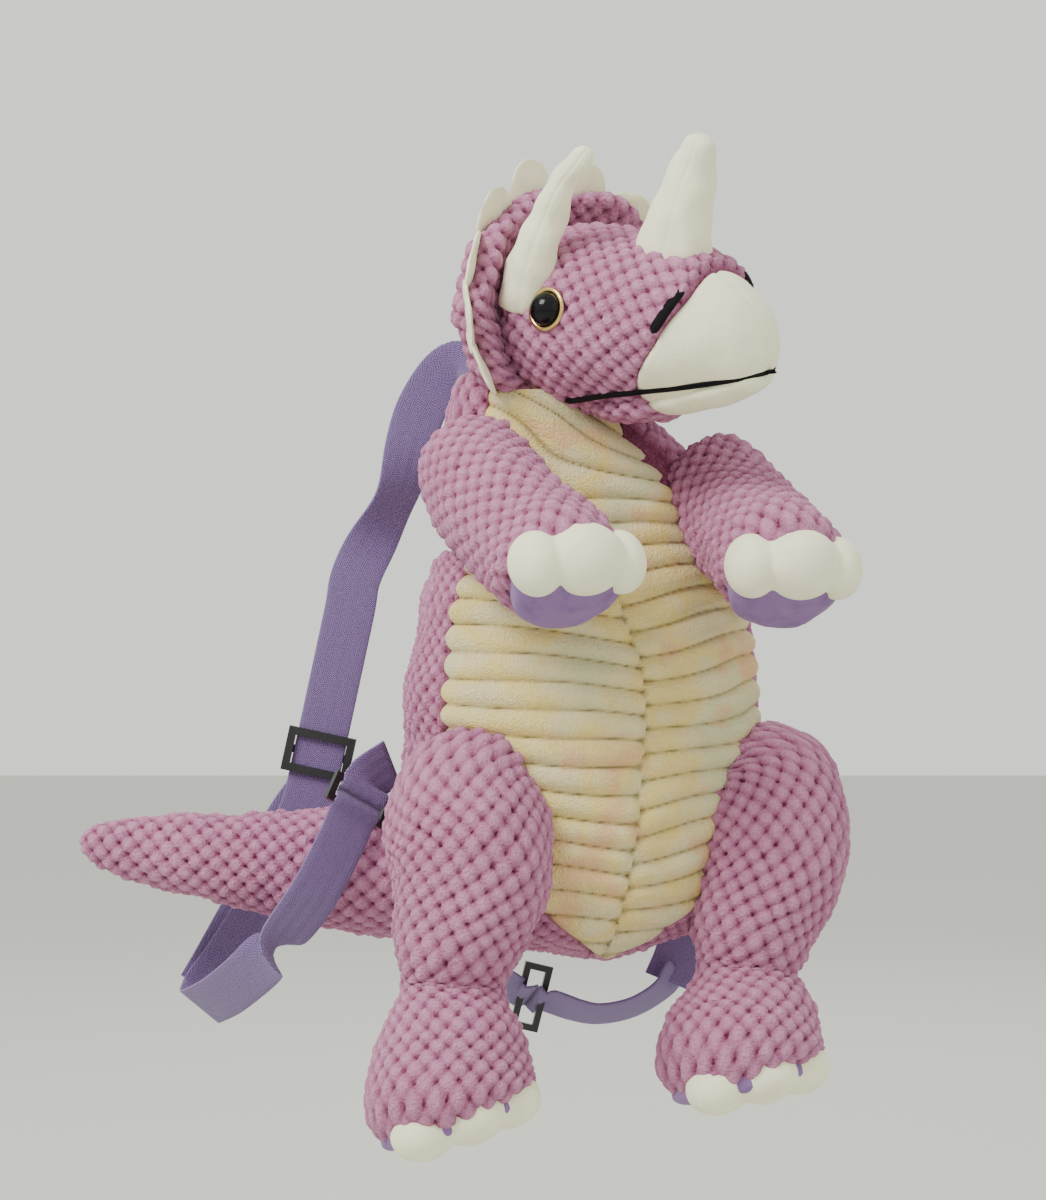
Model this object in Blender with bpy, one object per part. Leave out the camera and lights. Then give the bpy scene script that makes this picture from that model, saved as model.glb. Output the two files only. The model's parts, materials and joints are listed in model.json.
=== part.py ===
"""Plush horned-dinosaur backpack, hanging by its top loop.

World frame in metres: +X to the right of someone who faces the toy, +Y into the wall it
hangs on, +Z up.  The origin is the top of the inside of the hanging loop, where a hook
carries it.  The torso and the head each have their own turned frame, held by an empty.
"""

import math

import bmesh
import bpy
from mathutils import Matrix, Vector

# ---- driving dimensions (metres and degrees) ------------------------------------------
GAP = 0.0003                 # play left between pieces that touch
SKIN = 0.0025                # plush cloth with its pile, pressed flat
TORSO_ORIGIN = Vector((0.012, -0.066, -0.240))
TORSO_YAW = 22.0
HEAD_ORIGIN = Vector((0.028, -0.100, -0.074))
HEAD_YAW = 50.0
HEAD_ROLL = 15.0
BACK_FLAT = 0.056            # flat rear face of the torso, behind its centre
POUCH_HALF_WIDTH = 0.041
POUCH_FRONT = -0.016
POUCH_BACK = 0.036
POUCH_BOTTOM = -0.070
POUCH_TOP = 0.055
SLOT_HALF_WIDTH = 0.010
SLOT_BOTTOM = -0.060
SLOT_TOP = 0.030
ZIP_FACE = BACK_FLAT - 0.0014   # rear face of the zip's tapes
ZIP_TAPE_THICK = 0.0010
ZIP_TAPE_WIDTH = SLOT_HALF_WIDTH - GAP
SLIDER_TOP = 0.026
BELLY_HALF_ANGLE = 66.0
WEB_WIDTH = 0.025
WEB_THICK = 0.0015
LOOP_HALF_WIDTH = 0.007
LOOP_THICK = 0.0016
LOOP_WEB = 0.010
LOOP_LENGTH = 0.150
RETURN_FACING = Vector((-0.3, 0.9, 0.3))
EYE_RADIUS = 0.008
ROUND = 16                   # sides of a plush limb
ARM_SWING = (-20.0, 12.0)
LEG_SWING = (-15.0, 8.0)
TAIL_SWING = (-12.0, 12.0)

# Torso outline: height, half width and half depth, from the seat to the neck.
TORSO_STATIONS = (
    (-0.128, 0.034, 0.028),
    (-0.119, 0.058, 0.044),
    (-0.096, 0.078, 0.056),
    (-0.060, 0.086, 0.062),
    (-0.015, 0.086, 0.062),
    (0.030, 0.080, 0.057),
    (0.070, 0.068, 0.048),
    (0.100, 0.056, 0.041),
    (0.118, 0.044, 0.034),
)

# Limb paths in the torso's frame: x, y, z and radius, from the root to the flat end.
ARM_RIGHT = (
    (-0.050, -0.004, 0.104, 0.024),
    (-0.053, -0.022, 0.098, 0.029),
    (-0.052, -0.050, 0.084, 0.030),
    (-0.049, -0.080, 0.066, 0.028),
    (-0.046, -0.100, 0.053, 0.029),
    (-0.045, -0.109, 0.041, 0.027),
)
ARM_LEFT = (
    (0.054, -0.004, 0.094, 0.024),
    (0.058, -0.022, 0.088, 0.028),
    (0.060, -0.050, 0.074, 0.028),
    (0.058, -0.080, 0.061, 0.027),
    (0.056, -0.098, 0.051, 0.028),
    (0.0555, -0.107, 0.040, 0.027),
)
LEG_RIGHT = (
    (-0.070, -0.018, -0.050, 0.024),
    (-0.070, -0.034, -0.058, 0.034),
    (-0.074, -0.048, -0.084, 0.036),
    (-0.083, -0.052, -0.120, 0.028),
    (-0.085, -0.052, -0.139, 0.0225),
    (-0.088, -0.058, -0.164, 0.033),
    (-0.091, -0.064, -0.188, 0.037),
    (-0.088, -0.066, -0.202, 0.034),
)
LEG_LEFT = (
    (0.074, -0.018, -0.050, 0.024),
    (0.078, -0.034, -0.058, 0.034),
    (0.078, -0.048, -0.084, 0.036),
    (0.064, -0.052, -0.120, 0.028),
    (0.061, -0.052, -0.137, 0.0225),
    (0.058, -0.058, -0.158, 0.033),
    (0.054, -0.064, -0.179, 0.037),
    (0.056, -0.066, -0.192, 0.034),
)
# Tail path in world coordinates.
TAIL = (
    (-0.064, -0.047, -0.333, 0.024),
    (-0.078, -0.047, -0.333, 0.030),
    (-0.105, -0.048, -0.332, 0.028),
    (-0.145, -0.046, -0.329, 0.023),
    (-0.185, -0.044, -0.325, 0.017),
    (-0.215, -0.042, -0.321, 0.011),
    (-0.229, -0.041, -0.319, 0.007),
)
# Head outline in its own frame: y (rear to front), half width, half height, centre height.
HEAD_STATIONS = (
    (0.044, 0.034, 0.031, 0.004),
    (0.034, 0.043, 0.040, 0.003),
    (0.012, 0.047, 0.044, 0.001),
    (-0.015, 0.045, 0.042, -0.002),
    (-0.040, 0.040, 0.038, -0.005),
    (-0.055, 0.034, 0.030, -0.009),
)
BEAK_STATIONS = (
    (-0.0553, 0.034, 0.030, -0.009),
    (-0.066, 0.028, 0.0255, -0.0105),
    (-0.075, 0.020, 0.019, -0.0125),
    (-0.083, 0.010, 0.011, -0.0145),
)
FRILL_CENTRE = Vector((0.006, 0.053, 0.012))
FRILL_HALF_WIDTH = 0.072
FRILL_HALF_HEIGHT = 0.050
FRILL_HALF_THICK = 0.0085

# Strap routes in world coordinates: x, y, z of the middle of the webbing.
STRAP_RIGHT = (
    (-0.024, -0.033, -0.130),
    (-0.028, -0.018, -0.112),
    (-0.047, -0.004, -0.087),
    (-0.066, -0.003, -0.108),
    (-0.078, -0.003, -0.150),
    (-0.0973, -0.003, -0.188),
    (-0.1025, -0.003, -0.212),
    (-0.1194, -0.003, -0.290),
    (-0.1245, -0.003, -0.308),
    (-0.140, -0.003, -0.345),
    (-0.161, -0.006, -0.380),
    (-0.174, -0.014, -0.394),
)
STRAP_RIGHT_RETURN = (
    (-0.174, -0.019, -0.400),
    (-0.166, -0.040, -0.404),
    (-0.152, -0.066, -0.394),
    (-0.134, -0.088, -0.372),
    (-0.116, -0.094, -0.344),
    (-0.102, -0.090, -0.318),
    (-0.096, -0.085, -0.304),
)
STRAP_LEFT = (
    (0.032, -0.015, -0.130),
    (0.043, -0.004, -0.136),
    (0.0554, 0.009, -0.165),
    (0.0610, 0.009, -0.205),
    (0.0680, 0.009, -0.255),
    (0.0736, 0.009, -0.295),
    (0.0700, 0.005, -0.338),
    (0.0620, 0.000, -0.376),
    (0.054, -0.002, -0.390),
)
STRAP_LEFT_RETURN = (
    (0.036, -0.006, -0.408),
    (0.024, -0.007, -0.408),
    (0.012, -0.008, -0.404),
    (-0.004, -0.010, -0.400),
)

PLUSH_MAUVE = ("mauve_plush", (0.46, 0.20, 0.32), 0.95, 0.0)
PLUSH_BELLY = ("belly_plush", (0.84, 0.76, 0.44), 0.95, 0.0)
PLUSH_CREAM = ("cream_plush", (0.82, 0.79, 0.68), 0.95, 0.0)
PLUSH_LAVENDER = ("lavender_plush", (0.38, 0.26, 0.62), 0.95, 0.0)
WEBBING = ("lavender_webbing", (0.24, 0.18, 0.40), 0.85, 0.0)
BLACK_PLASTIC = ("black_plastic", (0.006, 0.006, 0.007), 0.35, 0.0)
GOLD_RING = ("gold_washer", (0.70, 0.50, 0.15), 0.30, 1.0)
BLACK_THREAD = ("black_thread", (0.01, 0.01, 0.012), 0.45, 0.0)
STUFFING = ("polyester_stuffing", (0.85, 0.85, 0.85), 1.0, 0.0)
LINING = ("lining_cloth", (0.30, 0.22, 0.34), 0.9, 0.0)
ZIP_METAL = ("zip_metal", (0.03, 0.03, 0.03), 0.35, 1.0)


# ---- small tools -------------------------------------------------------------------------
def clear_scene():
    for item in list(bpy.data.objects):
        bpy.data.objects.remove(item, do_unlink=True)


def material(finish):
    name, colour, roughness, metallic = finish
    made = bpy.data.materials.get(name)
    if made is None:
        made = bpy.data.materials.new(name)
        made.use_nodes = True
        shader = made.node_tree.nodes["Principled BSDF"]
        shader.inputs["Base Color"].default_value = (*colour, 1.0)
        shader.inputs["Roughness"].default_value = roughness
        shader.inputs["Metallic"].default_value = metallic
    return made


def frame_empty(name, origin, yaw, roll=0.0):
    empty = bpy.data.objects.new(name, None)
    bpy.context.collection.objects.link(empty)
    turn = Matrix.Rotation(math.radians(yaw), 4, "Z")
    tilt = Matrix.Rotation(math.radians(-roll), 4, "Y")
    empty.matrix_world = Matrix.Translation(origin) @ turn @ tilt
    return empty


def finish_object(name, bm, finish, parent=None, smooth=True):
    """Makes a named object from a bmesh, shaded smooth with sharp edges kept."""
    bmesh.ops.recalc_face_normals(bm, faces=bm.faces)
    mesh = bpy.data.meshes.new(name)
    bm.to_mesh(mesh)
    bm.free()
    if smooth:
        mesh.shade_smooth()
        mesh.set_sharp_from_angle(angle=math.radians(45.0))
    mesh.materials.append(material(finish))
    made = bpy.data.objects.new(name, mesh)
    bpy.context.collection.objects.link(made)
    made.parent = parent
    return made


def ellipse_ring(centre, across, up, half_width, half_height, count=ROUND):
    ring = []
    for step in range(count):
        angle = math.tau * step / count
        ring.append(centre + across * half_width * math.cos(angle)
                    + up * half_height * math.sin(angle))
    return ring


def limb_rings(path, shrink=0.0, reference=Vector((1.0, 0.0, 0.0))):
    """Rings round a limb's path, made smaller all over by shrink."""
    points = [Vector(station[:3]) for station in path]
    rings = []
    for index, station in enumerate(path):
        before = points[max(index - 1, 0)]
        after = points[min(index + 1, len(points) - 1)]
        along = (after - before).normalized()
        up = along.cross(reference).normalized()
        across = up.cross(along).normalized()
        centre = points[index]
        if index == len(path) - 1:
            centre = centre - along * shrink
        rings.append(ellipse_ring(centre, across, up, station[3] - shrink, station[3] - shrink))
    return rings


def head_rings(stations, shrink=0.0):
    """Rings round the head's axis, made smaller all over by shrink."""
    across, up = Vector((1.0, 0.0, 0.0)), Vector((0.0, 0.0, 1.0))
    rings = []
    for index, (depth, half_width, half_height, height) in enumerate(stations):
        pull = shrink if index == len(stations) - 1 else 0.0
        centre = Vector((0.0, depth + pull, height))
        rings.append(ellipse_ring(centre, across, up, half_width - shrink, half_height - shrink, 20))
    return rings


def add_rings(bm, rings):
    return [[bm.verts.new(point) for point in ring] for ring in rings]


def bridge(bm, first, second):
    count = len(first)
    for step in range(count):
        nxt = (step + 1) % count
        bm.faces.new((first[step], first[nxt], second[nxt], second[step]))


def solid_loft(rings):
    """A closed solid through a row of rings, flat at both ends."""
    bm = bmesh.new()
    rows = add_rings(bm, rings)
    for first, second in zip(rows, rows[1:]):
        bridge(bm, first, second)
    bm.faces.new(rows[0])
    bm.faces.new(rows[-1])
    return bm


def bag_loft(outer, inner):
    """A cloth bag: an outer and an inner skin joined round the open root end."""
    bm = bmesh.new()
    outer_rows = add_rings(bm, outer)
    inner_rows = add_rings(bm, inner)
    for rows in (outer_rows, inner_rows):
        for first, second in zip(rows, rows[1:]):
            bridge(bm, first, second)
        bm.faces.new(rows[-1])
    bridge(bm, outer_rows[0], inner_rows[0])
    return bm


def box_bmesh(low, high):
    bm = bmesh.new()
    bmesh.ops.create_cube(bm, size=1.0)
    size = Vector(high) - Vector(low)
    middle = (Vector(high) + Vector(low)) / 2.0
    bmesh.ops.scale(bm, vec=size, verts=bm.verts)
    bmesh.ops.translate(bm, vec=middle, verts=bm.verts)
    return bm


def cutter_object(name, bm, parent=None):
    cutter = finish_object(name, bm, LINING, parent, smooth=False)
    cutter.hide_render = True
    cutter.display_type = "WIRE"
    return cutter


def boolean(target, cutter, operation):
    step = target.modifiers.new(operation.lower(), "BOOLEAN")
    step.operation = operation
    step.solver = "EXACT"
    step.object = cutter


def swing_pocket(name, rings, pivot, axis, swing, clearance, parent):
    """The space a limb sweeps: the hull of its swollen root at several angles."""
    bm = bmesh.new()
    for angle in (swing[0], (swing[0] + swing[1]) / 2.0, swing[1]):
        turn = Matrix.Rotation(math.radians(angle), 3, axis)
        for ring in rings:
            centre = sum(ring, Vector()) / len(ring)
            for point in ring:
                swollen = point + (point - centre).normalized() * clearance
                bm.verts.new(pivot + turn @ (swollen - pivot))
        root = rings[0]
        centre = sum(root, Vector()) / len(root)
        next_centre = sum(rings[1], Vector()) / len(root)
        behind = (centre - next_centre).normalized() * clearance
        for point in root:
            bm.verts.new(pivot + turn @ (point + behind - pivot))
    hull = bmesh.ops.convex_hull(bm, input=bm.verts)
    unused = {item for item in hull["geom_interior"] + hull["geom_unused"]
              if isinstance(item, bmesh.types.BMVert)}
    bmesh.ops.delete(bm, geom=list(unused), context="VERTS")
    return cutter_object(name, bm, parent)


# ---- torso -------------------------------------------------------------------------------
def torso_bmesh():
    rings = []
    for height, half_width, half_depth in TORSO_STATIONS:
        centre = Vector((0.0, 0.0, height))
        rings.append(ellipse_ring(centre, Vector((1, 0, 0)), Vector((0, 1, 0)),
                                  half_width, half_depth, 24))
    return solid_loft(rings)


def torso_cell(name, low, high, frame, pockets):
    """One padded cell of the torso: the torso's outline inside a box."""
    cell = finish_object(name, torso_bmesh(), PLUSH_MAUVE, frame)
    room = cutter_object(name + "_room", box_bmesh(low, high), frame)
    boolean(cell, room, "INTERSECT")
    for pocket in pockets:
        boolean(cell, pocket, "DIFFERENCE")
    return cell


def build_torso(frame, pockets):
    arm_right, arm_left, leg_right, leg_left, tail = pockets
    wide, low, high = 0.1, -0.2, 0.2
    half = GAP / 2.0
    front, back = POUCH_FRONT, POUCH_BACK
    torso_cell("front_padding", (-wide, -wide, low), (wide, front - half, high), frame,
               (arm_right, arm_left, leg_right, leg_left))
    torso_cell("side_padding_left", (POUCH_HALF_WIDTH + half, front + half, low),
               (wide, back - half, high), frame, (arm_left, leg_left))
    torso_cell("side_padding_right", (-wide, front + half, low),
               (-POUCH_HALF_WIDTH - half, back - half, high), frame, (arm_right, leg_right, tail))
    torso_cell("top_padding", (-POUCH_HALF_WIDTH + half, front + half, POUCH_TOP),
               (POUCH_HALF_WIDTH - half, back - half, high), frame, (arm_right, arm_left))
    torso_cell("seat_padding", (-POUCH_HALF_WIDTH + half, front + half, low),
               (POUCH_HALF_WIDTH - half, back - half, POUCH_BOTTOM), frame, (tail,))
    torso_cell("back_panel_left", (SLOT_HALF_WIDTH, back + half, low),
               (wide, BACK_FLAT, high), frame, ())
    torso_cell("back_panel_right", (-wide, back + half, low),
               (-SLOT_HALF_WIDTH, BACK_FLAT, high), frame, (tail,))


def torso_size(height):
    """Half width and half depth of the torso at a height, between its stations."""
    for low, high in zip(TORSO_STATIONS, TORSO_STATIONS[1:]):
        if low[0] <= height <= high[0]:
            part = (height - low[0]) / (high[0] - low[0])
            return (low[1] + (high[1] - low[1]) * part, low[2] + (high[2] - low[2]) * part)
    return TORSO_STATIONS[-1][1:]


def build_belly(frame, pockets):
    """The pale ribbed front panel, a curved sheet laid over the front padding."""
    levels = [station[0] for station in TORSO_STATIONS[1:]]
    steps = 12
    bm = bmesh.new()
    rows = []
    for height in levels:
        half_width, half_depth = torso_size(height)
        loop = []
        for offset in (SKIN, GAP * 2.0):
            line = []
            for step in range(steps + 1):
                angle = math.radians(BELLY_HALF_ANGLE * (2.0 * step / steps - 1.0))
                line.append(Vector(((half_width + offset) * math.sin(angle),
                                    -(half_depth + offset) * math.cos(angle), height)))
            loop.extend(line if offset == SKIN else reversed(line))
        rows.append(loop)
    rings = add_rings(bm, rows)
    for first, second in zip(rings, rings[1:]):
        bridge(bm, first, second)
    for loop in (rings[0], rings[-1]):
        half = len(loop) // 2
        for step in range(half - 1):
            bm.faces.new((loop[step], loop[step + 1], loop[-2 - step], loop[-1 - step]))
    belly = finish_object("belly_panel", bm, PLUSH_BELLY, frame)
    for pocket in pockets:
        boolean(belly, pocket, "DIFFERENCE")
    return belly


def build_pouch(frame):
    """The cloth pouch inside the torso, open along the zip."""
    wall = 0.0008
    inset = 0.001
    outer_low = Vector((-POUCH_HALF_WIDTH + inset, POUCH_FRONT + inset, POUCH_BOTTOM + inset))
    outer_high = Vector((POUCH_HALF_WIDTH - inset, POUCH_BACK - inset, POUCH_TOP - inset))
    lining = finish_object("pouch_lining", box_bmesh(outer_low, outer_high), LINING, frame, False)
    margin = Vector((wall, wall, wall))
    hollow = cutter_object("pouch_hollow", box_bmesh(outer_low + margin, outer_high - margin), frame)
    mouth = cutter_object("pouch_mouth", box_bmesh(
        (-SLOT_HALF_WIDTH, POUCH_BACK - 0.006, SLOT_BOTTOM), (SLOT_HALF_WIDTH, 0.08, SLOT_TOP)), frame)
    boolean(lining, hollow, "DIFFERENCE")
    boolean(lining, mouth, "DIFFERENCE")


def build_zip(frame):
    tape_outer = ZIP_FACE + ZIP_TAPE_THICK
    for side, name in ((1.0, "zipper_tape_left"), (-1.0, "zipper_tape_right")):
        edges = sorted((side * 0.0008, side * ZIP_TAPE_WIDTH))
        low = (edges[0], ZIP_FACE, SLOT_BOTTOM - 0.008)
        high = (edges[1], tape_outer, SLOT_TOP + 0.004)
        finish_object(name, box_bmesh(low, high), WEBBING, frame, False)
    top = SLIDER_TOP
    hinge = top - 0.0055
    body_back = tape_outer + GAP
    body_face = body_back + 0.0028
    body = finish_object("zipper_slider", box_bmesh((-0.0045, body_back, top - 0.011),
                                                    (0.0045, body_face, top)),
                         ZIP_METAL, frame, False)
    bail = cutter_object("zipper_bail", box_bmesh((-0.0015, body_face - 0.0008, hinge - 0.0028),
                                                  (0.0015, body_face + 0.0043, hinge + 0.0028)), frame)
    boolean(body, bail, "UNION")
    bail_room = cutter_object("zipper_bail_room", box_bmesh(
        (-0.006, body_face + 0.0003, hinge - 0.0014), (0.006, body_face + 0.0031, hinge + 0.0014)), frame)
    boolean(body, bail_room, "DIFFERENCE")
    pull_half = 0.0007
    pull_middle = body_face + 0.0017
    pull = finish_object("zipper_pull", box_bmesh(
        (-0.0040, pull_middle - pull_half, hinge - 0.026),
        (0.0040, pull_middle + pull_half, hinge + pull_half)), ZIP_METAL, frame, False)
    eye_room = cutter_object("zipper_pull_eye", box_bmesh(
        (-0.0026, pull_middle - 0.004, hinge - 0.0062),
        (0.0026, pull_middle + 0.004, hinge - pull_half)), frame)
    boolean(pull, eye_room, "DIFFERENCE")


# ---- limbs -------------------------------------------------------------------------------
def build_limb(skin_name, filling_name, path, parent):
    outer = limb_rings(path)
    inner = limb_rings(path, SKIN)
    core = limb_rings(path, SKIN + GAP)
    skin = finish_object(skin_name, bag_loft(outer, inner), PLUSH_MAUVE, parent)
    finish_object(filling_name, solid_loft(core), STUFFING, parent)
    return skin


def limb_end(path):
    """Centre, outward direction and radius of a limb's flat end."""
    last, before = path[-1], path[-2]
    along = (Vector(last[:3]) - Vector(before[:3])).normalized()
    return Vector(last[:3]), along, last[3]


def build_pad(name, path, parent):
    """The smooth pad on a limb's flat end: a shallow dome."""
    centre, along, radius = limb_end(path)
    up = along.cross(Vector((1.0, 0.0, 0.0))).normalized()
    across = up.cross(along).normalized()
    rings = []
    for rise, part in ((GAP, 0.98), (0.0016, 0.94), (0.0040, 0.66)):
        rings.append(ellipse_ring(centre + along * rise, across, up, radius * part, radius * part))
    return finish_object(name, solid_loft(rings), PLUSH_LAVENDER, parent)


def arc_trim(name, centre, normal, first, second, size, sweep, lobes, thick, parent, steps):
    """A lobed cushion bent round an elliptical edge.

    first and second are the directions of angles 0 and 90 degrees, size the two radii of
    the edge that it lies against, sweep its start and end angle, and thick its least and
    greatest half thickness.
    """
    rings = []
    for step in range(steps + 1):
        share = step / steps
        angle = math.radians(sweep[0] + (sweep[1] - sweep[0]) * share)
        swell = abs(math.sin(math.pi * lobes * share)) ** 0.6
        radius = thick[0] + (thick[1] - thick[0]) * swell
        outward = (first * math.cos(angle) * size[1] + second * math.sin(angle) * size[0])
        outward.normalize()
        edge = centre + first * size[0] * math.cos(angle) + second * size[1] * math.sin(angle)
        middle = edge + outward * (radius + GAP)
        rings.append(ellipse_ring(middle, outward, normal, radius, radius * 0.9, 8))
    return finish_object(name, solid_loft(rings), PLUSH_CREAM, parent)


def build_toes(name, path, front, parent):
    """The three cream toe lobes round the front edge of a limb's end."""
    centre, along, radius = limb_end(path)
    forward = (front - along * front.dot(along)).normalized()
    side = along.cross(forward).normalized()
    reach = 0.006
    edge = radius * 1.10
    return arc_trim(name, centre - along * reach, along, forward, side, (edge, edge),
                    (-78.0, 78.0), 3, (0.0035, 0.0065), parent, 18)


# ---- head --------------------------------------------------------------------------------
def build_head(frame):
    outer = head_rings(HEAD_STATIONS)
    inner = head_rings(HEAD_STATIONS, SKIN)
    core = head_rings(HEAD_STATIONS, SKIN + GAP)
    finish_object("head_skin", bag_loft(outer, inner), PLUSH_MAUVE, frame)
    finish_object("head_filling", solid_loft(core), STUFFING, frame)
    finish_object("beak", solid_loft(head_rings(BEAK_STATIONS)), PLUSH_CREAM, frame)


def build_lower_jaw(frame):
    """The pale lower lip under the beak."""
    rings = []
    across, up = Vector((1, 0, 0)), Vector((0, 0, 1))
    for share, part in ((-1.0, 0.35), (-0.8, 0.75), (-0.3, 1.0), (0.3, 1.0), (0.8, 0.75), (1.0, 0.35)):
        centre = Vector((0.0, -0.050 - 0.026 * share, -0.0460))
        rings.append(ellipse_ring(centre, across, up, 0.026 * part, 0.0060 * part, 12))
    jaw = finish_object("lower_jaw", solid_loft(rings), PLUSH_CREAM, frame)
    boolean(jaw, bpy.data.objects["head_room"], "DIFFERENCE")


def build_frill(frame):
    across, up = Vector((1, 0, 0)), Vector((0, 0, 1))
    rings = []
    for rise, part in ((-1.0, 0.80), (-0.6, 0.95), (0.0, 1.0), (0.6, 0.95), (1.0, 0.80)):
        centre = FRILL_CENTRE + Vector((0.0, FRILL_HALF_THICK * rise, 0.0))
        rings.append(ellipse_ring(centre, across, up, FRILL_HALF_WIDTH * part,
                                  FRILL_HALF_HEIGHT * part, 24))
    finish_object("frill", solid_loft(rings), PLUSH_MAUVE, frame)
    arc_trim("frill_scallops", FRILL_CENTRE, Vector((0, 1, 0)), across, up,
             (FRILL_HALF_WIDTH, FRILL_HALF_HEIGHT), (-28.0, 208.0), 9, (0.0030, 0.0062), frame, 45)


def build_horn(name, base, tip, radius, frame):
    """A stuffed cone with a round tip."""
    base, tip = Vector(base), Vector(tip)
    along = (tip - base).normalized()
    up = along.cross(Vector((1, 0, 0))).normalized()
    across = up.cross(along).normalized()
    rings = []
    for share, part in ((0.0, 1.0), (0.3, 0.80), (0.65, 0.50), (0.9, 0.27), (1.0, 0.10)):
        rings.append(ellipse_ring(base.lerp(tip, share), across, up, radius * part, radius * part, 12))
    horn = finish_object(name, solid_loft(rings), PLUSH_CREAM, frame)
    boolean(horn, bpy.data.objects["head_room"], "DIFFERENCE")


def build_head_rooms(frame):
    """Cutters a gap larger than the head and the beak, for what is sewn on them."""
    for name, stations in (("head_room", HEAD_STATIONS), ("beak_room", BEAK_STATIONS)):
        swollen = [(depth, width + GAP, height + GAP, rise) for depth, width, height, rise in stations]
        front = swollen[-1]
        swollen[-1] = (front[0] - GAP, *front[1:])
        cutter_object(name, solid_loft(head_rings(swollen)), frame)


def build_horns(frame):
    build_horn("brow_horn_right", (-0.031, 0.016, 0.026), (-0.026, -0.020, 0.088), 0.0145, frame)
    build_horn("brow_horn_left", (0.037, -0.003, 0.029), (0.051, -0.022, 0.068), 0.0120, frame)
    build_horn("nose_horn", (0.000, -0.034, 0.022), (0.008, -0.056, 0.084), 0.0190, frame)


def build_eyes(frame):
    """Safety eyes: a black dome through a gold washer, standing on the cheeks."""
    for side, name in ((1.0, "left"), (-1.0, "right")):
        outward = Vector((side * 0.94, 0.0, 0.34)).normalized()
        seat = Vector((side * 0.0457, 0.004, 0.0150))
        up = outward.cross(Vector((0, 1, 0))).normalized()
        across = Vector((0, 1, 0))
        washer = []
        for rise, part in ((0.0, 1.22), (0.0014, 1.22), (0.0014, 1.02), (0.0, 1.02)):
            washer.append(ellipse_ring(seat + outward * rise, across, up,
                                       EYE_RADIUS * part, EYE_RADIUS * part, 20))
        bm = bmesh.new()
        rows = add_rings(bm, washer)
        for first, second in zip(rows, rows[1:] + rows[:1]):
            bridge(bm, first, second)
        finish_object("eye_washer_" + name, bm, GOLD_RING, frame)
        dome = []
        for rise, part in ((0.0, 0.98), (0.0022, 0.98), (0.0048, 0.80), (0.0066, 0.52), (0.0074, 0.22)):
            dome.append(ellipse_ring(seat + outward * rise, across, up,
                                     EYE_RADIUS * part, EYE_RADIUS * part, 20))
        finish_object("eye_" + name, solid_loft(dome), BLACK_PLASTIC, frame)


def head_size(depth, stations):
    """Half width, half height and centre height of the head at a depth."""
    for rear, front in zip(stations, stations[1:]):
        if front[0] <= depth <= rear[0]:
            part = (rear[0] - depth) / (rear[0] - front[0])
            return [a + (b - a) * part for a, b in zip(rear[1:], front[1:])]
    return list(stations[-1][1:])


def build_mouth(frame):
    """The embroidered line of the mouth, along both cheeks and round the beak."""
    width, thick, drop = 0.0016, 0.0030, 0.0155
    stations = HEAD_STATIONS + BEAK_STATIONS[1:]
    depths = [0.004 - 0.0086 * step for step in range(11)]
    line = []
    for side in (-1.0, 1.0):
        half = []
        for depth in depths:
            half_width, half_height, rise = head_size(depth, stations)
            low = min(drop, 0.7 * half_height)
            drop_share = -low / half_height
            x = half_width * math.sqrt(1.0 - drop_share ** 2)
            half.append(Vector((side * (x + thick / 3.0), depth, rise - low)))
        line.extend(half if side < 0 else reversed(half))
    middle = len(line) // 2
    front = BEAK_STATIONS[-1][0] - 0.0010
    line[middle:middle] = [Vector((x, front, -0.0235)) for x in (-0.009, 0.0, 0.009)]
    rings = []
    for index, point in enumerate(line):
        before, after = line[max(index - 1, 0)], line[min(index + 1, len(line) - 1)]
        along = (after - before).normalized()
        up = Vector((0, 0, 1))
        out = along.cross(up).normalized()
        rings.append([point + out * a * thick / 2.0 + up * b * width / 2.0
                      for a, b in ((-1, -1), (1, -1), (1, 1), (-1, 1))])
    mouth = finish_object("mouth_stitch", solid_loft(rings), BLACK_THREAD, frame, False)
    boolean(mouth, bpy.data.objects["head_room"], "DIFFERENCE")
    boolean(mouth, bpy.data.objects["beak_room"], "DIFFERENCE")


def build_nostrils(frame):
    """A slanted bar of satin stitches on each side of the beak."""
    for side, name in ((-1.0, "right"), (1.0, "left")):
        rings = []
        for share in (0.0, 0.5, 1.0):
            depth = -0.0615 - 0.0135 * share
            half_width, half_height, rise = head_size(depth, BEAK_STATIONS)
            angle = math.radians(38.0 - 22.0 * share)
            out = Vector((side * math.cos(angle), 0.0, math.sin(angle)))
            seat = Vector((side * half_width * math.cos(angle), depth,
                           rise + half_height * math.sin(angle)))
            middle = seat + out * 0.0016
            flat = Vector((0, 0, 1)).cross(out).normalized()
            rings.append([middle + out * a * 0.0012 + flat.cross(out) * b * 0.0018
                          for a, b in ((-1, -1), (1, -1), (1, 1), (-1, 1))])
        bar = finish_object("nostril_stitch_" + name, solid_loft(rings), BLACK_THREAD, frame, False)
        boolean(bar, bpy.data.objects["head_room"], "DIFFERENCE")
        boolean(bar, bpy.data.objects["beak_room"], "DIFFERENCE")


# ---- webbing -----------------------------------------------------------------------------
def smooth_route(points, spacing=0.012):
    """Points on a smooth curve through a route's own points."""
    route = [Vector(point) for point in points]
    padded = [route[0] * 2 - route[1]] + route + [route[-1] * 2 - route[-2]]
    made = []
    for index in range(1, len(padded) - 2):
        a, b, c, d = padded[index - 1:index + 3]
        count = max(1, round((c - b).length / spacing))
        for step in range(count):
            t = step / count
            made.append(0.5 * ((2 * b) + (c - a) * t + (2 * a - 5 * b + 4 * c - d) * t ** 2
                               + (3 * b - a - 3 * c + d) * t ** 3))
    made.append(route[-1])
    return made


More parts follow.
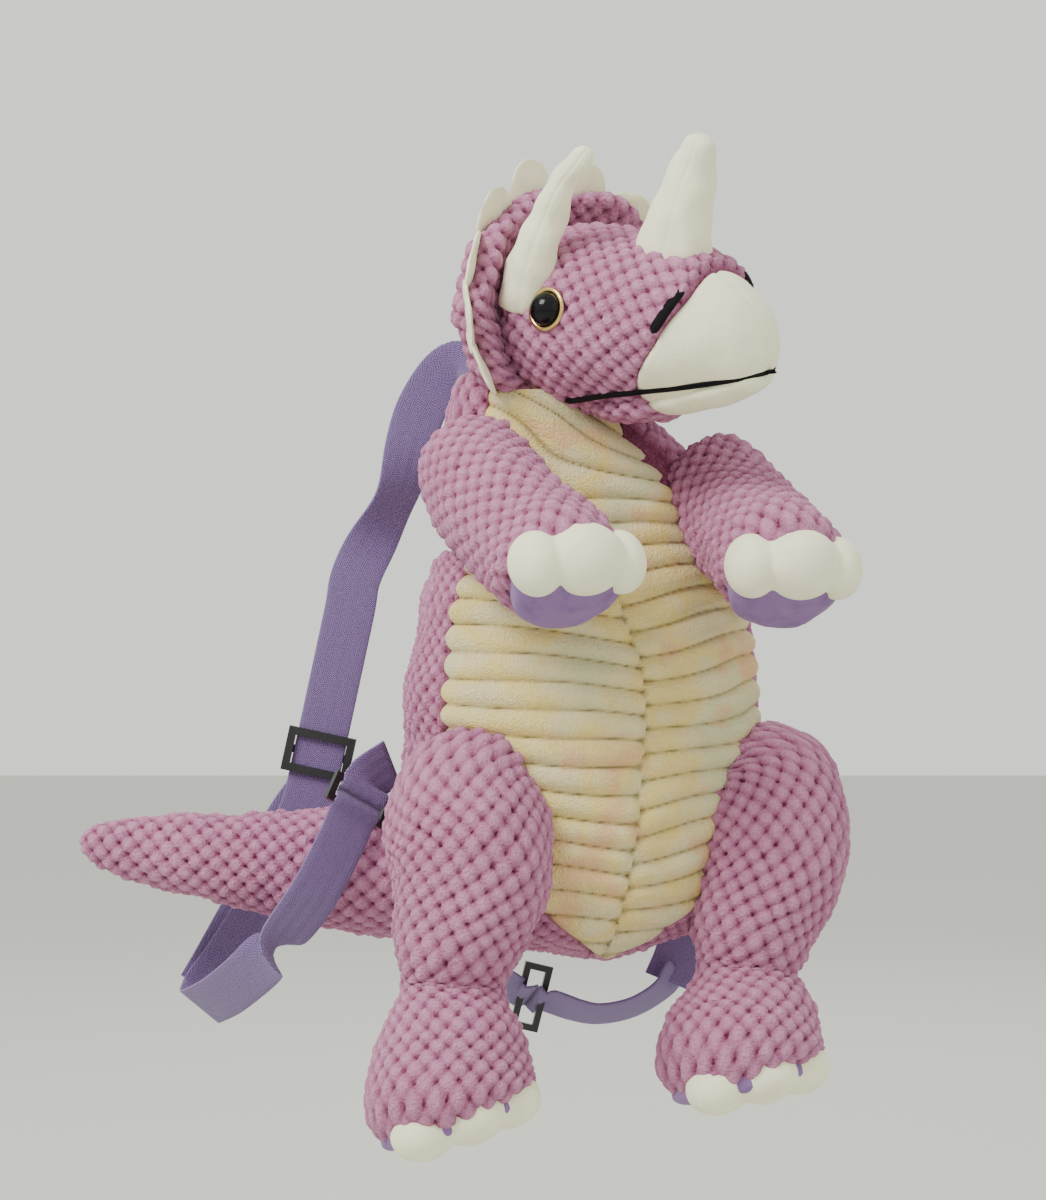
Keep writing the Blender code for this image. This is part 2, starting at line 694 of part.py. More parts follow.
def build_web(name, points, facing, spacing=0.012, width=WEB_WIDTH):
    """A flat webbing ribbon along a route, its face turned to facing."""
    route = smooth_route(points, spacing)
    rings = []
    for index, point in enumerate(route):
        before, after = route[max(index - 1, 0)], route[min(index + 1, len(route) - 1)]
        along = (after - before).normalized()
        across = along.cross(facing).normalized()
        face = across.cross(along).normalized()
        rings.append([point + across * a * width / 2.0 + face * b * WEB_THICK / 2.0
                      for a, b in ((-1, -1), (1, -1), (1, 1), (-1, 1))])
    return finish_object(name, solid_loft(rings), WEBBING, None, False)


def oriented(bm, centre, along, facing):
    """Turns a mesh made in x across, y facing and z along into its place."""
    along = along.normalized()
    across = along.cross(facing).normalized()
    face = across.cross(along).normalized()
    turn = Matrix((across, face, along)).transposed()
    bmesh.ops.rotate(bm, matrix=turn, verts=bm.verts)
    bmesh.ops.translate(bm, vec=centre, verts=bm.verts)
    return bm


def bar_box(half_x, low_y, high_y, low_z, high_z):
    return box_bmesh((-half_x, low_y, low_z), (half_x, high_y, high_z))


def build_tri_glide(name, centre, along, facing):
    """A strap adjuster: two bars on its face, one behind and two side rails."""
    rail, half_long, bar = 0.0035, 0.011, 0.004
    web = WEB_THICK / 2.0 + 0.0006
    inside = WEB_WIDTH / 2.0 + 0.0008
    deep = web + 0.0018
    far = 0.02
    slab = oriented(bar_box(inside + rail, -deep, deep, -half_long, half_long), centre, along, facing)
    glide = finish_object(name, slab, BLACK_PLASTIC, None, False)
    outer = half_long - bar
    rooms = (
        (inside, -web, web, -far, far),
        (inside - 0.0002, -far, 0.0, -far, -bar / 2.0),
        (inside - 0.0002, -far, 0.0, bar / 2.0, far),
        (inside - 0.0004, -0.0002, far, -outer, outer),
    )
    for index, (half_x, low_y, high_y, low_z, high_z) in enumerate(rooms):
        room = oriented(bar_box(half_x, low_y, high_y, low_z, high_z), centre, along, facing)
        boolean(glide, cutter_object(name + "_room_" + str(index), room), "DIFFERENCE")


def build_loop_buckle(name, centre, along, facing):
    """A plain rectangular ring that the webbing turns round."""
    half_wide, half_long, half_deep, bar = 0.0165, 0.0070, 0.0016, 0.0032
    ring = finish_object(name, oriented(bar_box(half_wide, -half_deep, half_deep, -half_long, half_long),
                                        centre, along, facing), BLACK_PLASTIC, None, False)
    room = oriented(bar_box(half_wide - bar, -0.01, 0.01, -half_long + bar, half_long - bar),
                    centre, along, facing)
    boolean(ring, cutter_object(name + "_room", room), "DIFFERENCE")


def build_straps():
    to_wall = Vector((0.0, 1.0, 0.0))
    build_web("strap_right", STRAP_RIGHT, to_wall)
    build_web("strap_right_return", STRAP_RIGHT_RETURN, RETURN_FACING)
    build_web("strap_left", STRAP_LEFT, to_wall)
    build_web("strap_left_return", STRAP_LEFT_RETURN, to_wall)
    run = Vector(STRAP_RIGHT[7]) - Vector(STRAP_RIGHT[6])
    build_tri_glide("strap_slider_right", Vector(STRAP_RIGHT[6]).lerp(Vector(STRAP_RIGHT[7]), 0.86),
                    run, -to_wall)
    run = Vector(STRAP_LEFT[4]) - Vector(STRAP_LEFT[3])
    build_tri_glide("strap_slider_left", Vector(STRAP_LEFT[3]).lerp(Vector(STRAP_LEFT[4]), 0.80),
                    run, -to_wall)
    for name, route, facing in (("loop_buckle_right", STRAP_RIGHT_RETURN, RETURN_FACING),
                                ("loop_buckle_left", STRAP_LEFT_RETURN, to_wall)):
        end = Vector(route[-1])
        onward = (end - Vector(route[-2])).normalized()
        build_loop_buckle(name, end + onward * 0.0082, onward, facing)


def build_hang_loop():
    """The hanging loop: a narrow tape bent over the hook, its ends sewn to the back."""
    lean = Vector((-0.003, -0.008, -LOOP_LENGTH)).normalized()
    back = Vector((0.0, 1.0, 0.0))
    across = lean.cross(back).normalized() * -1.0
    outline = []
    for step in range(2):
        outline.append((-LOOP_HALF_WIDTH, LOOP_LENGTH - 0.07 * step))
    for step in range(9):
        angle = math.pi * step / 8
        outline.append((-LOOP_HALF_WIDTH * math.cos(angle),
                        LOOP_HALF_WIDTH * (1.0 - math.sin(angle))))
    for step in range(2):
        outline.append((LOOP_HALF_WIDTH, LOOP_LENGTH - 0.07 * (1 - step)))
    rings = []
    centre_line = [across * x + lean * drop for x, drop in outline]
    for index, point in enumerate(centre_line):
        before = centre_line[max(index - 1, 0)]
        after = centre_line[min(index + 1, len(centre_line) - 1)]
        along = (after - before).normalized()
        side = along.cross(back).normalized()
        middle = point - back * 0.004
        rings.append([middle + side * a * LOOP_THICK / 2.0 + back * b * LOOP_WEB / 2.0
                      for a, b in ((-1, -1), (1, -1), (1, 1), (-1, 1))])
    finish_object("hang_loop", solid_loft(rings), WEBBING, None, False)


# ---- assembly ----------------------------------------------------------------------------
def limb_pocket(name, path, swing, frame, axis=Vector((1.0, 0.0, 0.0))):
    """The swing room of a limb, about its root."""
    return swing_pocket(name, limb_rings(path)[:5], Vector(path[0][:3]), axis, swing, 0.0012, frame)


def main():
    clear_scene()
    torso = frame_empty("torso_frame", TORSO_ORIGIN, TORSO_YAW)
    head = frame_empty("head_frame", HEAD_ORIGIN, HEAD_YAW, HEAD_ROLL)
    bpy.context.view_layer.update()
    pockets = [limb_pocket("arm_right_room", ARM_RIGHT, ARM_SWING, torso),
               limb_pocket("arm_left_room", ARM_LEFT, ARM_SWING, torso),
               limb_pocket("leg_right_room", LEG_RIGHT, LEG_SWING, torso),
               limb_pocket("leg_left_room", LEG_LEFT, LEG_SWING, torso)]
    tail_reference = Vector((0.0, 0.0, 1.0))
    tail_rings = limb_rings(TAIL, 0.0, tail_reference)
    pockets.append(swing_pocket("tail_room", tail_rings[:3], Vector(TAIL[0][:3]),
                                Vector((0.0, 0.0, 1.0)), TAIL_SWING, 0.0012, None))
    build_torso(torso, pockets)
    build_belly(torso, pockets[:4])
    build_pouch(torso)
    build_zip(torso)
    for side, name, arm, leg in ((-1.0, "right", ARM_RIGHT, LEG_RIGHT), (1.0, "left", ARM_LEFT, LEG_LEFT)):
        build_limb("arm_" + name + "_skin", "arm_" + name + "_filling", arm, torso)
        build_pad("palm_" + name, arm, torso)
        build_toes("hand_toes_" + name, arm, Vector((0.0, -0.3, 1.0)), torso)
        build_limb("leg_" + name + "_skin", "leg_" + name + "_filling", leg, torso)
        build_pad("sole_" + name, leg, torso)
        build_toes("foot_toes_" + name, leg, Vector((0.0, -1.0, 0.0)), torso)
    finish_object("tail_skin", bag_loft(tail_rings, limb_rings(TAIL, SKIN, tail_reference)), PLUSH_MAUVE)
    finish_object("tail_filling", solid_loft(limb_rings(TAIL, SKIN + GAP, tail_reference)), STUFFING)
    build_head(head)
    build_head_rooms(head)
    build_lower_jaw(head)
    build_frill(head)
    build_horns(head)
    build_eyes(head)
    build_mouth(head)
    build_nostrils(head)
    build_straps()
    build_hang_loop()


main()
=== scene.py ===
"""Looks of the plush horned-dinosaur backpack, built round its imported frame."""
import json
import logging
import math
from dataclasses import dataclass, field
from enum import Enum

import bpy
import numpy as np
from mathutils import Matrix, Vector


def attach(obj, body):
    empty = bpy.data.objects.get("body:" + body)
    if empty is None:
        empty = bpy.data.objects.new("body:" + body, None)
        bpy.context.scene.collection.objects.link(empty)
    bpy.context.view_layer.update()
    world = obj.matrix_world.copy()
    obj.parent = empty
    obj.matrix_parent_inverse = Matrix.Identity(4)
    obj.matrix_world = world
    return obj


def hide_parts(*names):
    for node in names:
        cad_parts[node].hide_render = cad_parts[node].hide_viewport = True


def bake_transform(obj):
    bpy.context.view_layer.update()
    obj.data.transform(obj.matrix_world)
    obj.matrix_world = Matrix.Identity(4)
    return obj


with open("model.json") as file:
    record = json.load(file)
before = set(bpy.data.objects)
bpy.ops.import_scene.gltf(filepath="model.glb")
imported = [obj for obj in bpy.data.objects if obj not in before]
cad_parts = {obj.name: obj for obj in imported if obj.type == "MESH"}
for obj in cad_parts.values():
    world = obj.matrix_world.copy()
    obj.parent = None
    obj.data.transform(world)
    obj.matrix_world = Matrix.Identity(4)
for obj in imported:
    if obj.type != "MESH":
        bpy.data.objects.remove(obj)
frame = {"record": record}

LOG = logging.getLogger("backpack")
Array = np.ndarray
ROOT2 = math.sqrt(2.0)
JOINTS = {joint["name"]: joint for joint in frame["record"]["behaviour"]["joints"]}
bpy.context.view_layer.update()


class Slot(Enum):
    """The record's material slots."""

    MAUVE = "mauve_plush"
    BELLY = "belly_plush"
    CREAM = "cream_plush"
    LAVENDER = "lavender_plush"
    WEBBING = "lavender_webbing"
    PLASTIC = "black_plastic"
    GOLD = "gold_washer"
    THREAD = "black_thread"


# ---- places --------------------------------------------------------------------------
@dataclass(frozen=True)
class Place:
    """A turned frame of the toy, with its origin in metres and its turns in degrees."""

    origin: tuple[float, float, float]
    yaw: float
    roll: float = 0.0

    def matrix(self) -> Array:
        """Returns the 3 by 3 matrix whose columns are the frame's axes."""
        turn = Matrix.Rotation(math.radians(self.yaw), 3, "Z")
        tilt = Matrix.Rotation(math.radians(-self.roll), 3, "Y")
        return np.array(turn @ tilt)

    def world(self, points: Array) -> Array:
        """Returns points of this frame in world coordinates."""
        return np.asarray(points, float) @ self.matrix().T + np.array(self.origin)

    def turned(self, direction: tuple[float, float, float]) -> Array:
        """Returns a direction of this frame in world coordinates."""
        return self.matrix() @ np.array(direction, float)


def torso_yaw() -> float:
    """Returns the torso's turn in degrees, which is that of the shoulders' axis."""
    axis = JOINTS["arm_right_swing"]["axis"]
    return math.degrees(math.atan2(axis[1], axis[0]))


TORSO = Place((0.012, -0.066, -0.240), torso_yaw())
HEAD = Place((0.028, -0.100, -0.074), 50.0, 15.0)
WORLD = Place((0.0, 0.0, 0.0), 0.0)


# ---- shader tools ----------------------------------------------------------------------
class Sock:
    """A shader socket on which Python arithmetic adds Math nodes."""

    def __init__(self, tree: bpy.types.NodeTree, socket: bpy.types.NodeSocket) -> None:
        """Keeps the tree and the socket that an expression starts from."""
        self.tree = tree
        self.socket = socket

    def _math(self, operation: str, *values: "Sock | float") -> "Sock":
        """Adds a Math node.

        Args:
            operation: the Math node's operation.
            values: its inputs, as sockets or numbers.

        Returns:
            The node's output.
        """
        node = self.tree.nodes.new("ShaderNodeMath")
        node.operation = operation
        for slot, value in zip(node.inputs, values):
            if isinstance(value, Sock):
                self.tree.links.new(value.socket, slot)
            else:
                slot.default_value = value
        return Sock(self.tree, node.outputs[0])

    def __add__(self, other: "Sock | float") -> "Sock":
        """Returns the sum."""
        return self._math("ADD", self, other)

    __radd__ = __add__

    def __mul__(self, other: "Sock | float") -> "Sock":
        """Returns the product."""
        return self._math("MULTIPLY", self, other)

    __rmul__ = __mul__

    def __sub__(self, other: "Sock | float") -> "Sock":
        """Returns the difference."""
        return self._math("SUBTRACT", self, other)

    def __rsub__(self, other: float) -> "Sock":
        """Returns a number less this value."""
        return self._math("SUBTRACT", other, self)

    def fract(self) -> "Sock":
        """Returns the part after the decimal point."""
        return self._math("FRACT", self)

    def size(self) -> "Sock":
        """Returns the value without its sign."""
        return self._math("ABSOLUTE", self)

    def sine(self) -> "Sock":
        """Returns the sine of the value in radians."""
        return self._math("SINE", self)

    def clamp(self) -> "Sock":
        """Returns the value held between 0 and 1."""
        low = self._math("MAXIMUM", self, 0.0)
        return self._math("MINIMUM", low, 1.0)

    def smooth(self, low: float, high: float) -> "Sock":
        """Returns a soft step from 0 at low to 1 at high."""
        share = ((self - low) * (1.0 / (high - low))).clamp()
        return share * share * (3.0 - 2.0 * share)


class Paint:
    """One material under construction."""

    def __init__(self, name: str) -> None:
        """Starts a material with a Principled shader."""
        self.material = bpy.data.materials.new(name)
        self.material.use_nodes = True
        self.tree = self.material.node_tree
        self.shader = self.tree.nodes["Principled BSDF"]

    def node(self, kind: str, settings: dict, inputs: dict, output: str | int = 0) -> Sock:
        """Adds any node.

        Args:
            kind: the node's type.
            settings: properties that are set first; "stops" sets a ramp's stops.
            inputs: values or sockets by input name or number.
            output: the output that is wanted.

        Returns:
            That output.
        """
        node = self.tree.nodes.new(kind)
        for key, value in settings.items():
            if key == "stops":
                ramp = node.color_ramp
                while len(ramp.elements) < len(value):
                    ramp.elements.new(0.5)
                for element, (position, colour) in zip(ramp.elements, value):
                    element.position = position
                    element.color = (*colour, 1.0)
            else:
                setattr(node, key, value)
        for key, value in inputs.items():
            if isinstance(value, Sock):
                self.tree.links.new(value.socket, node.inputs[key])
            else:
                node.inputs[key].default_value = value
        return Sock(self.tree, node.outputs[output])

    def attribute(self, name: str) -> Sock:
        """Returns a number stored on the piece's points."""
        return self.node("ShaderNodeAttribute", {"attribute_name": name}, {}, "Fac")

    def place(self) -> Sock:
        """Returns the object coordinates, in metres."""
        return self.node("ShaderNodeTexCoord", {}, {}, "Object")

    def noise(self, size: float, detail: float = 2.0, vector: Sock | None = None) -> Sock:
        """Returns a noise whose grains are about size metres across."""
        inputs = {"Vector": vector or self.place(), "Scale": 1.0 / size, "Detail": detail}
        return self.node("ShaderNodeTexNoise", {}, inputs, 0)

    def ramp(self, value: Sock, stops: list) -> Sock:
        """Returns a colour read from stops at the value."""
        return self.node("ShaderNodeValToRGB", {"stops": stops}, {"Fac": value})

    def mix(self, share: Sock, first: Sock, second: Sock) -> Sock:
        """Returns two colours mixed by share."""
        node = self.tree.nodes.new("ShaderNodeMix")
        node.data_type = "RGBA"
        self.tree.links.new(share.socket, node.inputs[0])
        self.tree.links.new(first.socket, node.inputs[6])
        self.tree.links.new(second.socket, node.inputs[7])
        return Sock(self.tree, node.outputs[2])

    def connect(self, name: str, value: Sock) -> None:
        """Feeds one of the shader's inputs."""
        self.tree.links.new(value.socket, self.shader.inputs[name])

    def bump(self, height: Sock, distance: float, strength: float = 1.0) -> None:
        """Feeds the shader's normal from a height between 0 and 1, distance metres high."""
        inputs = {"Height": height, "Distance": distance, "Strength": strength}
        self.connect("Normal", self.node("ShaderNodeBump", {}, inputs))

    def constant(self, **values: float | tuple) -> None:
        """Sets constant inputs, with underscores for the spaces in their names."""
        for key, value in values.items():
            self.shader.inputs[key.replace("_", " ")].default_value = value


# ---- finishes ----------------------------------------------------------------------------
@dataclass(frozen=True)
class PuffPlush:
    """Bubble chenille plush, with painted shade in the holes and creases between its puffs and painted
    light on their tips.
    """

    name: str = "mauve_puffs"
    # The first two colours are painted shade for the holes and creases between puffs; the last is painted
    # light for the puff tops.
    hole_shade: tuple = (0.120, 0.008, 0.030)
    crease: tuple = (0.260, 0.070, 0.140)
    body: tuple = (0.400, 0.150, 0.262)
    tip_light: tuple = (0.560, 0.262, 0.392)

    def build(self) -> bpy.types.Material:
        """Returns the material."""
        paint = Paint(self.name)
        pile = paint.attribute("pile")
        strands = paint.noise(0.0013, 3.0)
        clumps = paint.noise(0.0032, 2.0)
        brushed = paint.noise(0.045, 2.0)
        # Painted shade and light: low puff height (pile) darkens and full height lightens, mixed with
        # random fibre and brushed-nap noise.
        level = pile * 0.80 + strands * 0.55 + clumps * 0.35 + brushed * 0.30 - 0.53
        colour = paint.ramp(level, [(0.04, self.hole_shade), (0.28, self.crease),
                                    (0.58, self.body), (0.96, self.tip_light)])
        paint.connect("Base Color", colour)
        paint.bump(strands * 0.55 + clumps * 0.45, 0.0026, 1.0)
        paint.constant(Roughness=0.95, Sheen_Weight=0.16, Sheen_Roughness=0.5,
                       Sheen_Tint=(0.95, 0.70, 0.85, 1.0), Specular_IOR_Level=0.10)
        return paint.material


@dataclass(frozen=True)
class RibPlush:
    """Ribbed plush of the belly, clouded with pale yellow, peach and green-white, with painted shade in
    its grooves.
    """

    name: str = "belly_ribs"
    # The groove colour is painted shade for the rib grooves, the upright fold and the tucked edges, and
    # also the thin dark stitch line in each groove.
    groove: tuple = (0.330, 0.240, 0.085)
    cream: tuple = (0.800, 0.700, 0.390)
    yellow: tuple = (0.850, 0.680, 0.240)
    peach: tuple = (0.830, 0.520, 0.270)
    green: tuple = (0.680, 0.670, 0.380)

    def build(self) -> bpy.types.Material:
        """Returns the material."""
        paint = Paint(self.name)
        pile = paint.attribute("pile")
        strands = paint.noise(0.0010, 3.0)
        cloud = paint.noise(0.040, 2.5)
        drift = paint.noise(0.026, 2.0, paint.node(
            "ShaderNodeVectorMath", {"operation": "ADD"}, {0: paint.place(), 1: (3.1, 1.7, 0.4)}))
        base = paint.ramp(cloud, [(0.34, self.green), (0.45, self.cream), (0.54, self.yellow),
                                  (0.64, self.cream)])
        blush = paint.ramp(cloud, [(0.0, self.peach), (1.0, self.peach)])
        colour = paint.mix(drift.smooth(0.56, 0.70) * 0.85, base, blush)
        # Painted shade: where the rib height share (pile) is low, the groove colour is mixed in.
        dark = paint.ramp(cloud, [(0.0, self.groove), (1.0, self.groove)])
        depth = (pile + strands * 0.35).smooth(0.08, 0.72)
        paint.connect("Base Color", paint.mix(depth, dark, colour))
        paint.bump(strands, 0.0018, 1.0)
        paint.constant(Roughness=0.94, Sheen_Weight=0.15, Sheen_Roughness=0.5,
                       Sheen_Tint=(1.0, 0.95, 0.80, 1.0), Specular_IOR_Level=0.10)
        return paint.material


@dataclass(frozen=True)
class ShortPlush:
    """Smooth short-pile plush with a brushed nap and faint blushes."""

    name: str
    body: tuple
    shade: tuple
    blush: tuple
    blush_share: float = 0.35

    def build(self) -> bpy.types.Material:
        """Returns the material."""
        paint = Paint(self.name)
        strands = paint.noise(0.0007, 3.0)
        nap = paint.noise(0.009, 3.0)
        stain = paint.noise(0.022, 2.0)
        base = paint.ramp(nap * 0.7 + strands * 0.3, [(0.30, self.shade), (0.52, self.body)])
        warm = paint.ramp(nap, [(0.0, self.blush), (1.0, self.blush)])
        paint.connect("Base Color", paint.mix(stain.smooth(0.52, 0.72) * self.blush_share, base, warm))
        paint.bump(strands * 0.6 + nap * 0.4, 0.0007, 0.7)
        paint.constant(Roughness=0.92, Sheen_Weight=0.15, Sheen_Roughness=0.4,
                       Specular_IOR_Level=0.10)
        return paint.material


@dataclass(frozen=True)
class Webbing:
    """Herringbone webbing, woven along the piece's own UV map in millimetres."""

    name: str = "lavender_web"
    light: tuple = (0.300, 0.205, 0.450)
    # The dark colour is painted shade for the hollows of the weave.
    dark: tuple = (0.060, 0.035, 0.110)
    chevron: float = 6.0
    pick: float = 1.1

    def build(self) -> bpy.types.Material:
        """Returns the material."""
        paint = Paint(self.name)
        uv = paint.node("ShaderNodeUVMap", {}, {})
        split = {"Vector": uv}
        across = paint.node("ShaderNodeSeparateXYZ", {}, split, 0)
        along = paint.node("ShaderNodeSeparateXYZ", {}, split, 1)
        fold = ((across * (1.0 / self.chevron)).fract() - 0.5).size()
        slant = along * (1.0 / self.pick) + fold * (self.chevron / self.pick) * 1.1
        rib = (slant * math.pi).sine().size()
        warp = (across * (math.pi / 0.9)).sine().size()
        weave = rib * (warp * 0.45 + 0.55)
        fuzz = paint.noise(0.0009, 2.0)
        # Painted shade: where the weave is low the dark colour is used, mixed with random fuzz.
        level = weave * 0.75 + fuzz * 0.35
        paint.connect("Base Color", paint.ramp(level, [(0.18, self.dark), (0.80, self.light)]))
        paint.bump(weave * 0.8 + fuzz * 0.2, 0.0006, 0.9)
        paint.constant(Roughness=0.72, Sheen_Weight=0.20, Specular_IOR_Level=0.30)
        return paint.material


@dataclass(frozen=True)
class Moulding:
    """Moulded or polished hard finish with faint unevenness."""

    name: str
    colour: tuple
    roughness: float
    metallic: float = 0.0
    gloss: float = 0.5
    grain: float = 0.0005

    def build(self) -> bpy.types.Material:
        """Returns the material."""
        paint = Paint(self.name)
        wear = paint.noise(0.006, 3.0)
        shade = tuple(value * 0.7 for value in self.colour)
        paint.connect("Base Color", paint.ramp(wear, [(0.3, shade), (0.7, self.colour)]))
        paint.connect("Roughness", wear * 0.16 + (self.roughness - 0.08))
        paint.bump(paint.noise(self.grain, 2.0), 0.00002, 0.5)
        paint.constant(Metallic=self.metallic, Specular_IOR_Level=self.gloss)
        return paint.material


@dataclass(frozen=True)
class SatinThread:
    """Black embroidery, with its stitches across the line by the piece's UV map."""

    name: str = "satin_thread"
    stitch: float = 0.45

    def build(self) -> bpy.types.Material:
        """Returns the material."""
        paint = Paint(self.name)
        uv = paint.node("ShaderNodeUVMap", {}, {})
        along = paint.node("ShaderNodeSeparateXYZ", {}, {"Vector": uv}, 1)
        strand = (along * (math.pi / self.stitch)).sine().size()
        # Painted shade: the gaps between stitches, where the strand height is low, are darker.
        paint.connect("Base Color", paint.ramp(strand, [(0.0, (0.0015, 0.0015, 0.002)),
                                                        (1.0, (0.008, 0.007, 0.009))]))
        paint.bump(strand, 0.0003, 0.9)
        paint.constant(Roughness=0.60, Specular_IOR_Level=0.15)
        return paint.material


class Finishes:
    """All finishes of the toy, made once."""

    def __init__(self) -> None:
        """Builds every material."""
        self.mauve = PuffPlush().build()
        self.belly = RibPlush().build()
        self.cream = ShortPlush("cream_short_pile", (0.915, 0.925, 0.640), (0.850, 0.850, 0.580),
                                (0.860, 0.700, 0.600)).build()
        self.lavender = ShortPlush("lavender_short_pile", (0.250, 0.150, 0.330),
                                   (0.175, 0.100, 0.250), (0.300, 0.185, 0.320)).build()
        self.webbing = Webbing().build()
        self.plastic = Moulding("black_moulding", (0.012, 0.012, 0.013), 0.30).build()
        self.eye = Moulding("eye_gloss", (0.003, 0.003, 0.004), 0.14, gloss=0.22).build()
        self.gold = Moulding("gold_ring", (0.780, 0.560, 0.210), 0.24, metallic=1.0).build()
        self.thread = SatinThread().build()
        self.zip = Moulding("zip_lacquer", (0.030, 0.028, 0.032), 0.35, metallic=0.6).build()


# ---- surfaces ------------------------------------------------------------------------------
def smooth_through(stations: Array, shares: Array) -> Array:
    """Reads a smooth curve through rows of stations.

    Args:
        stations: one row for each station.
        shares: where to read, from 0 at the first to 1 at the last.

    Returns:
        One row for each share.
    """
    stations = np.asarray(stations, float)
    last = len(stations) - 1
    where = np.clip(shares, 0.0, 1.0) * last
    index = np.minimum(where.astype(int), last - 1)
    t = (where - index)[:, None]
    rows = np.vstack([2 * stations[0] - stations[1], stations, 2 * stations[-1] - stations[-2]])
    a, b, c, d = rows[index], rows[index + 1], rows[index + 2], rows[index + 3]
    return 0.5 * ((2 * b) + (c - a) * t + (2 * a - 5 * b + 4 * c - d) * t ** 2
                  + (3 * b - a - 3 * c + d) * t ** 3)


def running_length(points: Array) -> Array:
    """Returns the length along a row of points, at each point."""
    steps = np.linalg.norm(np.diff(points, axis=0), axis=1)
    return np.concatenate([[0.0], np.cumsum(steps)])


def unit(vectors: Array) -> Array:
    """Returns vectors scaled to length 1."""
    return vectors / np.maximum(np.linalg.norm(vectors, axis=-1, keepdims=True), 1e-12)


def soft_step(value: Array, low: float, high: float) -> Array:
    """Returns a soft step from 0 at low to 1 at high."""
    share = np.clip((value - low) / (high - low), 0.0, 1.0)
    return share * share * (3.0 - 2.0 * share)


def ripple(points: Array, size: float, seed: int, waves: int = 14) -> Array:
    """Returns smooth noise of about unit strength with bumps of a size in metres."""
    random = np.random.default_rng(seed)
    ways = unit(random.normal(size=(waves, 3))) * (math.tau / size) * random.uniform(
        0.6, 1.4, (waves, 1))
    phase = random.uniform(0.0, math.tau, waves)
    total = np.zeros(points.shape[:-1])
    for way, start in zip(ways, phase):
        total += np.sin(points @ way + start)
    return total / math.sqrt(waves)


@dataclass
class Skin:
    """A closed surface as a grid: rows along it, columns round it."""

    points: Array
    along: Array
    around: Array
    angle: Array

    def normals(self) -> Array:
        """Returns the outward direction at each grid point."""
        round_way = np.roll(self.points, -1, axis=1) - np.roll(self.points, 1, axis=1)
        long_way = np.gradient(self.points, axis=0)
        normal = unit(np.cross(round_way, long_way))
        centre = self.points.mean(axis=1, keepdims=True)
        if np.sum(normal * (self.points - centre)) < 0.0:
            normal = -normal
        return normal


@dataclass
class Loft:
    """A padded tube through stations of x, y, z, half width and half depth, with round ends."""

    stations: Array
    front: tuple
    start_cap: float
    end_cap: float
    lean: tuple[float, float] = (0.0, 0.0)

    def skin(self, step: float) -> Skin:
        """Builds the surface.

        Args:
            step: the grid's spacing in metres.

        Returns:
            The grid, whose angle 0 faces the loft's front.
        """
        shares = 0.5 - 0.5 * np.cos(np.linspace(0.0, math.pi, 4001))
        dense = smooth_through(self.stations, shares)
        run = running_length(dense[:, :3])
        fall = round_end(run / self.start_cap) * round_end((run[-1] - run) / self.end_cap)
        mean = dense[:, 3:5].mean(axis=1) * fall
        meridian = running_length(np.stack([run, mean], axis=1))
        marks = np.linspace(0.0, meridian[-1], max(int(meridian[-1] / step), 12))
        rows = np.stack([np.interp(marks, meridian, column) for column in dense.T], axis=1)
        fall = np.interp(marks, meridian, fall)
        where = np.interp(marks, meridian, run)
        dense_way = unit(np.gradient(dense[:, :3], run + np.arange(len(run)) * 1e-12, axis=0))
        way = unit(np.stack([np.interp(marks, meridian, column) for column in dense_way.T], axis=1))
        face = np.array(self.front, float) - way * (way @ np.array(self.front, float))[:, None]
        face = unit(face)
        side = np.cross(face, way)
        columns = int(math.tau * mean.max() / step)
        angle = np.linspace(-math.pi, math.pi, columns, endpoint=False)
        depth = (rows[:, 4] * fall)[:, None, None] * np.cos(angle)[None, :, None]
        width = (rows[:, 3] * fall)[:, None, None] * np.sin(angle)[None, :, None]
        points = rows[:, None, :3] + face[:, None, :] * depth + side[:, None, :] * width
        shear = width * self.lean[0] + depth * self.lean[1]
        share = soft_step(where, run[-1] * 0.50, run[-1])[:, None, None]
        points = points + way[:, None, :] * shear * share
        radius = rows[:, 3:5].mean(axis=1) * fall
        return Skin(points, np.repeat(marks[:, None], columns, 1), radius[:, None] * angle[None, :],
                    np.repeat(angle[None, :], len(marks), 0))


def round_end(share: Array) -> Array:
    """Returns the radius of a round end at a share of its length."""
    return np.sqrt(np.clip(1.0 - (1.0 - np.clip(share, 0.0, 1.0)) ** 2, 0.0, 1.0))


@dataclass(frozen=True)
class Puffs:
    """A lattice of square puffs set on their corners."""

    pitch: float = 0.0067
    height: float = 0.0031
    squareness: float = 2.3
    reach: float = 1.20

    def lift(self, along: Array, around: Array, seed: int) -> tuple[Array, Array]:
        """Works out the puffs over a cloth.

        Args:
            along: distance along the cloth at each point.
            around: distance across the cloth at each point.
            seed: sets which puffs are fuller.

        Returns:
            The height of each point in metres, and its share of a full puff.
        """
        drift = np.sin(along / 0.0171 + seed) * 0.0010 + np.sin(around / 0.0113 + 2.0 * seed) * 0.0008
        p = (along + around + drift) / (self.pitch * ROOT2)
        q = (along - around + drift * 0.7) / (self.pitch * ROOT2)
        i, j = np.floor(p), np.floor(q)
        fullness = np.sin(i * 12.9898 + j * 78.233 + seed) * 43758.5453
        fullness = fullness - np.floor(fullness)
        x, y = np.abs(2.0 * (p - i) - 1.0), np.abs(2.0 * (q - j) - 1.0)
        far = (x ** self.squareness + y ** self.squareness) ** (1.0 / self.squareness)
        dome = np.sqrt(np.clip(1.0 - (far / self.reach) ** 2, 0.0, 1.0))
        return dome * self.height * (0.72 + 0.45 * fullness), dome


